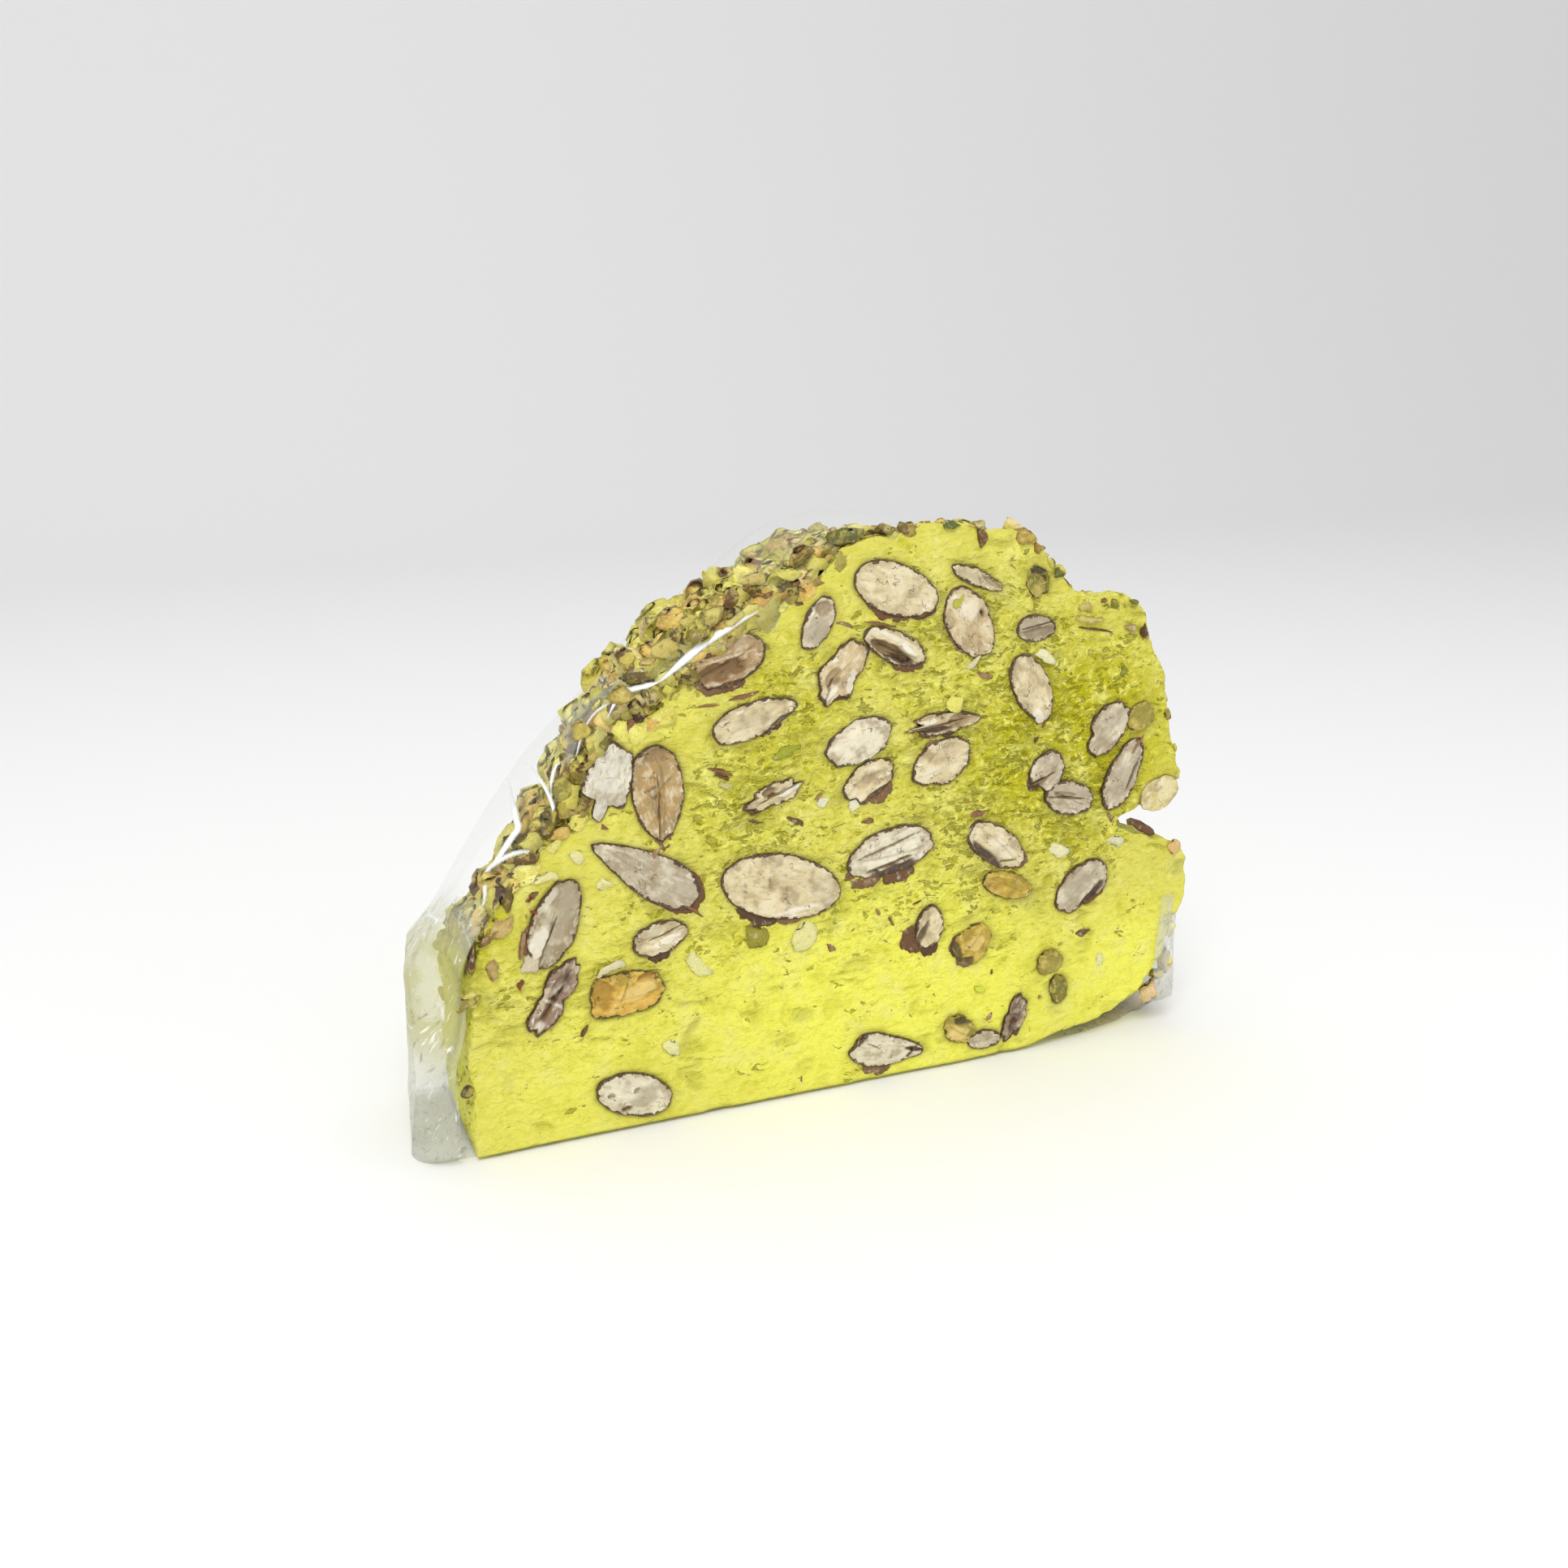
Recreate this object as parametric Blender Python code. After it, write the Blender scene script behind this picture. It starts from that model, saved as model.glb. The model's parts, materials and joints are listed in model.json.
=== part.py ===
# A thick slice of a domed pistachio torrone: green-yellow nougat with whole almonds and
# pistachios, cut across by a knife, with chopped nuts on its outer crust and a sheet of clear
# film under it, up its left side and over its back. The cut face looks along -Y.
import math
import bpy
import bmesh
import numpy as np
from mathutils import Matrix, Vector, noise

mm = 0.001

# Driving sizes in millimetres
thickness = 34.0            # from the cut face to the back face
film_wall = 0.5
gap = 0.35                  # left between pieces that touch
proud = 0.4                 # how far a cut nut stands out of the face
fall_power = 1.3            # the dome draws in slowly behind the cut face, then faster
foot_length = 12.0          # depth over which the crushed right corner fills out
lump_height = 0.7           # soft waves of the crust
lump_size = 9.0
lump_start = 6.0            # they grow over this height above the flat underside
ring_step = 4.2             # spacing of the points round the outline
film_step = 6.0
grain_count = 130
grain_largest, grain_smallest = 8.0, 4.4
grain_form = (0.50, 0.42, 0.32)   # half length, half width and half height of a grain
grain_sunk = 0.08                 # share of its size that its middle lies under the crust
grain_uneven = 0.12               # how much each half size varies
grain_tilt = 0.3                  # radians out of the crust's plane
grain_above_floor = 0.6           # share of its size that its middle keeps above the underside
grain_inset = 0.6                 # grains start this far behind a cut face
spiral_across, spiral_along = 0.7549, 0.5698   # steps that spread the grains evenly both ways
film_start = 0.2            # the film begins this far behind the cut face
film_back_gap = 1.0         # room between the back face and the film
film_lip = 0.6              # the back sheet's hem where the film stops

front_y = -thickness / 2
back_y = thickness / 2
underside = film_wall + gap
nougat_depths = [front_y, front_y + 5, front_y + foot_length, 2, 10, back_y]

# The cut face from its lower left corner over the dome: x and height, in millimetres
left_side = [(-78.5, 0.85), (-78.5, 14), (-78.5, 28), (-76, 37.5), (-74.5, 45.5)]
shoulder = [(-71, 52.5), (-65, 59), (-58.8, 64), (-57, 70), (-54.3, 74.6)]
slope = [(-50, 78.8), (-44.5, 81.5), (-35, 86.5), (-28, 91.8), (-17.5, 99.3), (-11, 103.9), (-4, 108.6)]
crown = [(6, 110.4), (15, 111.2), (26, 110.2), (33, 108.5), (38, 106)]
broken_step = [(41, 102.3), (45, 99.8), (47, 95.8), (54, 95.4), (62, 95.6), (65.5, 92.8)]
right_side = [(66.5, 88), (69.8, 81), (72, 73), (74.2, 63), (75.6, 55)]
notch = [(73.5, 51), (68, 49.6), (61.5, 48), (65.5, 45.8), (70, 44)]
crushed_foot = [(76.5, 41), (80, 33.3), (78.3, 27), (74, 22), (72.5, 16.5), (69, 10.5), (60, 5),
                (47, 2.8), (36, 0.85)]
full_foot = [(76.5, 41), (79, 33), (79, 25), (79, 17), (78.5, 10), (77, 5), (73.5, 2.2),
             (67, 0.85), (58, 0.85)]
upper_stretches = {"left": left_side, "shoulder": shoulder, "slope": slope, "crown": crown,
                   "step": broken_step, "right": right_side, "notch": notch}
full_outline = {**upper_stretches, "foot": full_foot}
crushed_outline = {**upper_stretches, "foot": crushed_foot}

# How much nearer the middle the outline lies at the back face, by stretch
back_fall = {"left": 3.0, "shoulder": 10.5, "slope": 6.0, "crown": 6.5, "step": 4.5,
             "right": 3.5, "notch": 3.0, "foot": 0.5}
# How thickly the chopped nuts lie on it
crust_share = {"left": 0.35, "shoulder": 1.5, "slope": 1.7, "crown": 1.1, "step": 0.7,
               "right": 0.4, "notch": 0.0, "foot": 0.35}

# The film's outer outline, from the loose fold at its lower left corner
film_fold = [(-88, 0), (-88.5, 14), (-88, 29), (-84.5, 45), (-75, 57), (-66, 67), (-61, 75)]
film_slope = [(-55, 81.5), (-46, 86.8), (-36, 91.8), (-20, 102), (-8, 110.2), (4, 114.6), (15, 115.5)]
film_crown = [(27, 114.4), (37, 111), (44, 106), (50, 100.2), (63, 100.2), (70, 96), (73, 87)]
film_right = [(76.5, 75), (79, 61), (80.3, 48), (82.6, 36), (83.2, 24), (83, 9), (80.3, 1.5), (74, 0)]
film_outline = {"fold": film_fold, "slope": film_slope, "crown": film_crown, "right": film_right}
film_fall = {"fold": 8.0, "slope": 6.3, "crown": 5.6, "right": 2.5}
film_window_x, film_window_z = 6.0, 27.0   # right of and above these the dome is bare
window_size, window_ahead = 120.0, 6.0     # the window's width and height, and its start in front

# Cut nuts in the face: x, height, length, width, turn in degrees, taper, unevenness
almonds = {
    "almond_01": (7, 100, 18.9, 9.6, -19, 0.08, 0.02),
    "almond_02": (23.3, 92.5, 15.5, 9.4, -59, 0.10, 0.05),
    "almond_03": (-9.6, 94.8, 10.5, 5.6, 61, 0.00, 0.06),
    "almond_04": (24.9, 101.2, 12, 3.2, -23, 0.20, 0.05),
    "almond_05": (38.8, 90.5, 9.2, 5.1, -1, 0.20, 0.03),
    "almond_06": (6.6, 89.2, 14, 6, -24, -0.10, 0.04),
    "almond_07": (-4.5, 85, 13, 8.2, 54, 0.00, 0.12),
    "almond_08": (38.2, 78.5, 15.5, 8, -61, 0.05, 0.04),
    "almond_09": (-27.9, 88.2, 15.2, 9.4, 17, 0.10, 0.04),
    "almond_10": (-22.7, 77.7, 17, 6.6, 16, 0.25, 0.03),
    "almond_11": (-0.7, 71.3, 14.8, 8.1, 19, 0.00, 0.05),
    "almond_12": (1.6, 63.2, 11.5, 7.6, 28, 0.10, 0.06),
    "almond_13": (17.7, 73.1, 16.8, 4.1, 3, 0.15, 0.10),
    "almond_14": (17.9, 65.3, 13.4, 8.9, 20, 0.10, 0.05),
    "almond_15": (-51.1, 69.2, 12.5, 7.8, 71, 0.20, 0.15),
    "almond_16": (-42, 65.7, 17.6, 10, -84, 0.12, 0.03),
    "almond_17": (-18.6, 62.7, 11.9, 4.6, 19, 0.10, 0.12),
    "almond_18": (42.6, 60.8, 9, 7.7, 40, 0.00, 0.08),
    "almond_19": (48.3, 54.6, 12, 7, -16, 0.00, 0.04),
    "almond_20": (57.2, 68.5, 12.8, 7.9, 49, 0.05, 0.07),
    "almond_21": (61.6, 58.2, 15.7, 7.5, 63, 0.10, 0.05),
    "almond_22": (71, 54.1, 9.4, 5.8, -1, 0.00, 0.05),
    "almond_23": (6.6, 48.3, 19.3, 9.4, 12, 0.00, 0.04),
    "almond_24": (31.3, 46.4, 15.4, 7.4, -36, 0.10, 0.06),
    "almond_25": (52.4, 34.8, 13.8, 9.4, 36, -0.10, 0.04),
    "almond_26": (-17, 44.3, 25.5, 12.6, -15, 0.05, 0.02),
    "almond_27": (-44.7, 50.9, 23.7, 8, -33, -0.50, 0.03),
    "almond_28": (-42, 37.8, 10.9, 6.3, 13, 0.15, 0.04),
    "almond_29": (-62.3, 43.6, 17.4, 8.6, 67, 0.10, 0.05),
    "almond_30": (-62.8, 29.7, 14.5, 6.5, 55, 0.10, 0.15),
    "almond_31": (15.8, 31.4, 8.9, 6.2, 81, 0.10, 0.04),
    "almond_32": (-47.8, 7.2, 15.4, 8.4, -18, 0.00, 0.04),
    "almond_33": (6.4, 6.4, 17, 6.6, -10, 0.45, 0.06),
    "almond_34": (29.6, 4.5, 8.3, 3.8, -4, 0.00, 0.08),
    "almond_35": (36.8, 8.2, 9.6, 5.2, 69, 0.00, 0.15),
}
pistachios = {
    "pistachio_01": (38.8, 99.6, 6.2, 5.2, -73, 0.10, 0.08),
    "pistachio_02": (65.3, 70.2, 6.6, 5.5, 35, 0.00, 0.05),
    "pistachio_03": (33.9, 37.7, 12, 5.3, -19, 0.00, 0.04),
    "pistachio_04": (-48.9, 27.9, 14.7, 8.2, 2, 0.10, 0.08),
    "pistachio_05": (25.8, 26.1, 9.3, 7.7, 32, 0.00, 0.08),
    "pistachio_06": (45.3, 19.1, 6.5, 4.9, -11, 0.10, 0.10),
    "pistachio_07": (47.7, 12.8, 6.5, 4, -77, 0.00, 0.08),
    "pistachio_08": (23.5, 7.8, 7.5, 5.6, -25, 0.00, 0.10),
}
# The hidden back face is cut like the front one, with its larger nuts
back_almonds = {
    "back_almond_1": (-22, 76, 18, 9, 35, 0.10, 0.04),
    "back_almond_2": (16, 88, 17, 9, -40, 0.05, 0.05),
    "back_almond_3": (46, 66, 18, 9, 62, 0.10, 0.04),
    "back_almond_4": (-49, 36, 18, 10, -28, 0.10, 0.05),
    "back_almond_5": (-15, 40, 22, 11, 14, 0.05, 0.03),
    "back_almond_6": (24, 46, 19, 10, -12, 0.05, 0.05),
    "back_almond_7": (50, 24, 16, 9, 32, 0.00, 0.06),
    "back_almond_8": (-38, 15, 17, 9, -16, 0.10, 0.04),
}
# Chips too small for a piece of their own: x, height, length, width, turn
chips = [
    (-24, 33.8, 6, 3.4, -13), (20, 78, 5, 2.6, -21), (26.6, 82, 5, 1.6, -15),
    (27, 54, 5, 1.6, -2), (45.6, 44.2, 6, 3, -16), (57.8, 17.4, 5, 3.4, 50),
    (-34.5, 31, 6.6, 3.6, -32), (-40, 15.7, 4.5, 3, -12), (53.1, 24.7, 4.8, 1.6, 8),
    (-29.6, 68.2, 5.6, 3, -16), (9.5, 41, 6, 2.6, 5), (-16, 57, 6, 2, -22),
]
chip_proud = 0.5

nut_sides = 12              # points round a cut nut
nut_rings = 4
nut_depth_share = 0.75      # how deep an almond sits, against half its width
nut_depth_least = 1.6
nut_wave = 1.7              # how fast a nut's unevenness changes along it


def clear_scene():
    for each in list(bpy.data.objects):
        bpy.data.objects.remove(each, do_unlink=True)


def new_collection(name):
    made = bpy.data.collections.new(name)
    bpy.context.scene.collection.children.link(made)
    return made


def material(name, colour, roughness, metallic=0.0, alpha=1.0):
    made = bpy.data.materials.new(name)
    made.use_nodes = True
    shader = made.node_tree.nodes["Principled BSDF"]
    shader.inputs["Base Color"].default_value = (*colour, 1)
    shader.inputs["Roughness"].default_value = roughness
    shader.inputs["Metallic"].default_value = metallic
    shader.inputs["Alpha"].default_value = alpha
    made.diffuse_color = (*colour, alpha)
    return made


def add_object(name, bm, place, finish=None):
    mesh = bpy.data.meshes.new(name)
    bm.to_mesh(mesh)
    bm.free()
    made = bpy.data.objects.new(name, mesh)
    place.objects.link(made)
    if finish:
        mesh.materials.append(finish)
    return made


def hide_cutter(cutter):
    cutter.hide_render = True
    cutter.display_type = "WIRE"


# How many short runs each stretch between two outline points is cut into
def run_counts(points, step):
    points = np.array(points, float)
    return np.maximum(1, np.round(np.linalg.norm(np.diff(points, axis=0), axis=1) / step)).astype(int)


# A smooth open curve through the points (Catmull-Rom), cut into the given runs
def smooth_curve(points, counts):
    points = np.array(points, float)
    padded = np.vstack([points[0], points, points[-1]])
    rows = []
    for i, count in enumerate(counts):
        before, start, end, after = padded[i:i + 4]
        t = (np.arange(count) / count)[:, None]
        rows.append(0.5 * (2 * start + (end - before) * t
                           + (2 * before - 5 * start + 4 * end - after) * t ** 2
                           + (3 * start - before - 3 * end + after) * t ** 3))
    return np.vstack(rows + [points[-1:]])


# Outward direction at each point of a clockwise ring, longer at corners so that an offset
# keeps its distance from both neighbouring runs
def outward(ring):
    ahead = np.roll(ring, -1, axis=0) - ring
    ahead /= np.linalg.norm(ahead, axis=1)[:, None]
    left = np.stack([-ahead[:, 1], ahead[:, 0]], axis=1)
    both = left + np.roll(left, 1, axis=0)
    both /= np.linalg.norm(both, axis=1)[:, None]
    return both / np.maximum(0.5, (both * left).sum(axis=1))[:, None]


def smooth_step(t):
    t = np.clip(t, 0, 1)
    return t * t * (3 - 2 * t)


def joined(outline):
    return [point for points in outline.values() for point in points]


# One value for each point of a ring, from a table by stretch
def by_stretch(outline, counts, table):
    names = [name for name, points in outline.items() for _ in points]
    runs = [table[names[i]] for i, count in enumerate(counts) for _ in range(count)]
    return np.array(runs + [table[names[-1]]])


# The values averaged with their neighbours, so that one stretch passes softly into the next
def softened(values, reach=3):
    padded = np.pad(values, reach, mode="edge")
    return np.convolve(padded, np.ones(2 * reach + 1) / (2 * reach + 1), mode="valid")


# One section at depth y: the outline draws in towards the back by the fall of each point
def settle(ring, y, falls, floor):
    t = max((y - front_y) / thickness, 0)
    moved = ring - outward(ring) * (falls * t ** fall_power)[:, None]
    moved[:, 1] = np.where(ring[:, 1] <= floor + 0.01, floor, moved[:, 1])
    return moved


crust_counts = run_counts(joined(full_outline), ring_step)
crushed_ring = smooth_curve(joined(crushed_outline), crust_counts)
full_ring = smooth_curve(joined(full_outline), crust_counts)
nougat_falls = softened(by_stretch(full_outline, crust_counts, back_fall))
film_counts = run_counts(joined(film_outline), film_step)
film_ring = smooth_curve(joined(film_outline), film_counts)
film_falls = softened(by_stretch(film_outline, film_counts, film_fall))


def nougat_section(y):
    fill = smooth_step((y - front_y) / foot_length)
    ring = crushed_ring + (full_ring - crushed_ring) * fill
    ring = settle(ring, y, nougat_falls, underside)
    waves = np.array([noise.noise(Vector((x, y, z)) / lump_size) for x, z in ring])
    lift = smooth_step((ring[:, 1] - underside) / lump_start)
    return ring + outward(ring) * (lump_height * waves * lift)[:, None]


def film_section(y, wall):
    ring = settle(film_ring, y, film_falls, 0.0)
    return ring - outward(ring) * wall


# A closed solid through sections that have the same number of points
def loft(sections):
    bm = bmesh.new()
    rows = [[bm.verts.new((x * mm, y * mm, z * mm)) for x, z in ring] for y, ring in sections]
    for near, far in zip(rows, rows[1:]):
        for i in range(len(near)):
            j = (i + 1) % len(near)
            bm.faces.new((near[i], near[j], far[j], far[i]))
    bm.faces.new(rows[0][::-1])
    bm.faces.new(rows[-1])
    bmesh.ops.recalc_face_normals(bm, faces=bm.faces)
    return bm


def build_nougat_core(place, finish):
    bm = loft([(y, nougat_section(y)) for y in nougat_depths])
    return add_object("nougat", bm, place, finish)


# Chopped nuts on the crust: an even spiral of places over outline and depth, largest first
def build_grains(place):
    rng = np.random.default_rng(11)
    weights = by_stretch(full_outline, crust_counts, crust_share)[:-1]
    total = np.cumsum(weights) / weights.sum()
    for k in range(grain_count):
        across = (0.5 + k * spiral_across) % 1
        along = (0.5 + k * spiral_along) % 1
        size = grain_largest + (grain_smallest - grain_largest) * k / grain_count
        y = front_y + grain_inset + (thickness - 2 * grain_inset) * across
        ring = nougat_section(y)
        i = min(int(np.searchsorted(total, along)), len(ring) - 2)
        spot = ring[i] + (ring[i + 1] - ring[i]) * rng.random()
        normal = outward(ring)[i]
        normal /= np.linalg.norm(normal)
        spot = spot - normal * grain_sunk * size
        spot[1] = max(spot[1], underside + grain_above_floor * size)
        lean = math.atan2(normal[0], normal[1])
        half = size * np.array(grain_form) * rng.uniform(1 - grain_uneven, 1 + grain_uneven, 3)
        bm = bmesh.new()
        bmesh.ops.create_icosphere(bm, subdivisions=1, radius=1)
        turn = Matrix.Rotation(lean, 4, "Y") @ Matrix.Rotation(rng.uniform(0, math.pi), 4, "Z")
        tilt = Matrix.Rotation(rng.uniform(-grain_tilt, grain_tilt), 4, "X")
        stretch = Matrix.Diagonal((*(half * mm), 1))
        bm.transform(Matrix.Translation(Vector((spot[0], y, spot[1])) * mm) @ turn @ tilt @ stretch)
        trim_to_slice(bm)
        add_object("grain", bm, place)


# The knife cut the grains too: what stands out of a face plane is cut off and closed
def trim_to_slice(bm):
    for y, side in ((front_y + 0.05, -1), (back_y - 0.05, 1)):
        cut = bmesh.ops.bisect_plane(bm, geom=bm.verts[:] + bm.edges[:] + bm.faces[:], dist=1e-6,
                                     plane_co=(0, y * mm, 0), plane_no=(0, side, 0),
                                     clear_outer=True)
        edges = [each for each in cut["geom_cut"] if isinstance(each, bmesh.types.BMEdge)]
        if edges:
            bmesh.ops.edgeloop_fill(bm, edges=edges)
    bmesh.ops.recalc_face_normals(bm, faces=bm.faces)


def build_chips(place):
    for x, z, length, width, turn in chips:
        bm = bmesh.new()
        bmesh.ops.create_icosphere(bm, subdivisions=1, radius=1)
        half = Matrix.Diagonal((length / 2 * mm, chip_proud * 2 * mm, width / 2 * mm, 1))
        spot = Vector((x, front_y + chip_proud, z)) * mm
        bm.transform(Matrix.Translation(spot) @ Matrix.Rotation(-math.radians(turn), 4, "Y") @ half)
        add_object("chip", bm, place)


# An ellipsoid lying in the face plane, tapered along its length and a little uneven
def nut_form(shape, seed, grow):
    _, _, length, width, _, taper, uneven = shape
    depth = max(nut_depth_least, nut_depth_share * width / 2)
    bm = bmesh.new()
    bmesh.ops.create_uvsphere(bm, u_segments=nut_sides, v_segments=nut_rings, radius=1)
    bm.transform(Matrix.Rotation(math.pi / 2, 4, "X"))
    for vert in bm.verts:
        at = Vector((vert.co.x * nut_wave, seed * math.pi, vert.co.z * nut_wave))
        swell = 1 + 2 * uneven * noise.noise(at)
        vert.co.z *= (1 - taper * vert.co.x) * swell
        vert.co.x *= swell
        vert.co.x *= length / 2 + grow
        vert.co.z *= width / 2 + grow
        vert.co.y *= depth + grow
    bm.transform(Matrix.Diagonal((mm, mm, mm, 1)))
    return bm


def place_nut(nut, shape, face_y):
    x, z, _, _, turn, _, _ = shape
    side = 1 if face_y > 0 else -1
    nut.location = (x * mm, (face_y + side * proud) * mm, z * mm)
    nut.rotation_euler = (0, -math.radians(turn), 0)


# A cut nut: the inner half of its form, closed by the flat cut, and the pocket it sits in
def build_nut(name, shape, face_y, place, pockets, finish):
    seed = sum(map(ord, name))
    side = 1 if face_y > 0 else -1
    bm = nut_form(shape, seed, 0)
    bmesh.ops.bisect_plane(bm, geom=bm.verts[:] + bm.edges[:] + bm.faces[:], dist=1e-7,
                           plane_co=(0, 0, 0), plane_no=(0, side, 0), clear_outer=True)
    rim = [each for each in bm.edges if each.is_boundary]
    bmesh.ops.edgeloop_fill(bm, edges=rim)
    bmesh.ops.recalc_face_normals(bm, faces=bm.faces)
    nut = add_object(name, bm, place, finish)
    place_nut(nut, shape, face_y)
    pocket = add_object("pocket_" + name, nut_form(shape, seed, gap), pockets)
    place_nut(pocket, shape, face_y)
    hide_cutter(pocket)
    return nut, pocket


# Whether the outline of one nut reaches into the pocket of another
def crosses(shape, other):
    angles = np.linspace(0, 2 * math.pi, 60)
    x, z, length, width, turn = shape[:5]
    a, b = length / 2 * np.cos(angles), width / 2 * np.sin(angles)
    c, s = math.cos(math.radians(turn)), math.sin(math.radians(turn))
    px, pz = x + a * c - b * s - other[0], z + a * s + b * c - other[1]
    c, s = math.cos(math.radians(other[4])), math.sin(math.radians(other[4]))
    u = (px * c + pz * s) / (other[2] / 2 + gap)
    v = (pz * c - px * s) / (other[3] / 2 + gap)
    return bool(((u * u + v * v) < 0.97).any())


def boolean(target, operation, cutter=None, group=None):
    step = target.modifiers.new(operation.lower(), "BOOLEAN")
    step.operation = operation
    step.solver = "EXACT"
    if group:
        step.operand_type = "COLLECTION"
        step.collection = group
    else:
        step.object = cutter
    return step


def apply_modifiers(target):
    graph = bpy.context.evaluated_depsgraph_get()
    mesh = bpy.data.meshes.new_from_object(target.evaluated_get(graph))
    target.modifiers.clear()
    target.data = mesh


def remove_all(group):
    for each in list(group.objects):
        bpy.data.objects.remove(each, do_unlink=True)
    bpy.data.collections.remove(group)


# Two thin-walled shells one inside the other leave a film that is open at the cut face
def build_film(place, cutters, finish):
    film_front, film_back = front_y + film_start, back_y + film_back_gap
    between = [front_y + foot_length, 4, back_y]
    depths = [film_front, *between, film_back + film_wall]
    film = add_object("film", loft([(y, film_section(y, 0)) for y in depths]), place, finish)
    inner_depths = [film_front - window_ahead, *between, film_back]
    inner = loft([(y, film_section(max(y, film_front), film_wall)) for y in inner_depths])
    hollow = add_object("film_hollow", inner, cutters)
    hide_cutter(hollow)
    bm = bmesh.new()
    bmesh.ops.create_cube(bm, size=1)
    near = front_y - window_ahead
    deep = film_back - film_lip - near
    bm.transform(Matrix.Diagonal((window_size * mm, deep * mm, window_size * mm, 1)))
    window = add_object("film_window", bm, cutters)
    window.location = Vector((film_window_x + window_size / 2, near + deep / 2,
                              film_window_z + window_size / 2)) * mm
    hide_cutter(window)
    boolean(film, "DIFFERENCE", cutter=hollow)
    boolean(film, "DIFFERENCE", cutter=window)
    return film


# Everything hangs on one empty, moved so that the underside's middle is the origin
def centre_on_origin(objects):
    graph = bpy.context.evaluated_depsgraph_get()
    corners = []
    for each in objects:
        shown = each.evaluated_get(graph)
        corners += [shown.matrix_world @ Vector(corner) for corner in shown.bound_box]
    corners = np.array(corners)
    low, high = corners.min(axis=0), corners.max(axis=0)
    holder = bpy.data.objects.new("torrone_holder", None)
    bpy.context.scene.collection.objects.link(holder)
    for each in objects:
        each.parent = holder
    holder.location = (-(low[0] + high[0]) / 2, -(low[1] + high[1]) / 2, -low[2])


def main():
    clear_scene()
    torrone = new_collection("pistachio_torrone")
    pockets = new_collection("nut_pockets")
    film_cutters = new_collection("film_cutters")
    crust = new_collection("crust_grains")
    nougat_finish = material("nougat", (0.72, 0.74, 0.15), 0.75)
    almond_finish = material("almond", (0.70, 0.62, 0.50), 0.6)
    pistachio_finish = material("pistachio", (0.45, 0.42, 0.10), 0.6)
    film_finish = material("film", (0.9, 0.92, 0.92), 0.08, alpha=0.3)

    nougat = build_nougat_core(torrone, nougat_finish)
    build_grains(crust)
    build_chips(crust)
    boolean(nougat, "UNION", group=crust)
    apply_modifiers(nougat)
    remove_all(crust)

    made = []
    groups = [(almonds, front_y, almond_finish), (pistachios, front_y, pistachio_finish),
              (back_almonds, back_y, almond_finish)]
    for group, face_y, finish in groups:
        for name, shape in group.items():
            nut, pocket = build_nut(name, shape, face_y, torrone, pockets, finish)
            for other_pocket, other_shape, other_y in made:
                if other_y == face_y and crosses(shape, other_shape):
                    boolean(nut, "DIFFERENCE", cutter=other_pocket)
            made.append((pocket, shape, face_y))
    boolean(nougat, "DIFFERENCE", group=pockets)
    build_film(torrone, film_cutters, film_finish)

    parts = list(torrone.objects)
    cutters = list(pockets.objects) + list(film_cutters.objects)
    bpy.context.view_layer.update()
    centre_on_origin(parts)
    for each in cutters:
        each.parent = parts[0].parent
    for each in parts:
        each.data.shade_smooth()
        each.data.set_sharp_from_angle(angle=math.radians(35))


main()
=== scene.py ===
import json
import math
import bpy
import numpy as np
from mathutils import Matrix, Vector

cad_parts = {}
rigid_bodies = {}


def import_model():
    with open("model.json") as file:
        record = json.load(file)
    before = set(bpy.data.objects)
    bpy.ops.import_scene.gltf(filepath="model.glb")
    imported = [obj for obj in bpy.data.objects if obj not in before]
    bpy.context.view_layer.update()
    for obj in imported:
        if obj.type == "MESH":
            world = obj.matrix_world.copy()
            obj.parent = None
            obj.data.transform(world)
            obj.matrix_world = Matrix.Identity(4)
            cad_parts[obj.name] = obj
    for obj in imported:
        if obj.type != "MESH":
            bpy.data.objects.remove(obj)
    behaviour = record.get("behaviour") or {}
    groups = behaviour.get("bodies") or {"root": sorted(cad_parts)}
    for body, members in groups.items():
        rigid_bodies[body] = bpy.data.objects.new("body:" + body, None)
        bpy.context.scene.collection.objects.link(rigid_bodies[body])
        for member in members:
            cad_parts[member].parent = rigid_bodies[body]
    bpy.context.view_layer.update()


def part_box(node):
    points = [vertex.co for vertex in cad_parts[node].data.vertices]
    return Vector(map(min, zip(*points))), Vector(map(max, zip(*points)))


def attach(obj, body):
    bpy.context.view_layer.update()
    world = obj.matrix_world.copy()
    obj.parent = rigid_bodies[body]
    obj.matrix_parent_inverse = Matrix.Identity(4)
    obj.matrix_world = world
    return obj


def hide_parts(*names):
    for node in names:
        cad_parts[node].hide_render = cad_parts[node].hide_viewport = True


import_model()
print("frame loaded")

mm = 0.001

# The slice's own measures, in millimetres: x along the cut face, y into it, z up
slab = {"front": -17.0, "back": 17.0, "underside": 0.85, "footLength": 12.0, "fallPower": 1.3,
        "filmStart": -16.8}


# Numbers and arrays

def smoothStep(value, low=0.0, high=1.0):  # 3t^2 - 2t^3 between low and high
    t = np.clip((value - low) / (high - low), 0, 1)
    return t * t * (3 - 2 * t)


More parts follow.
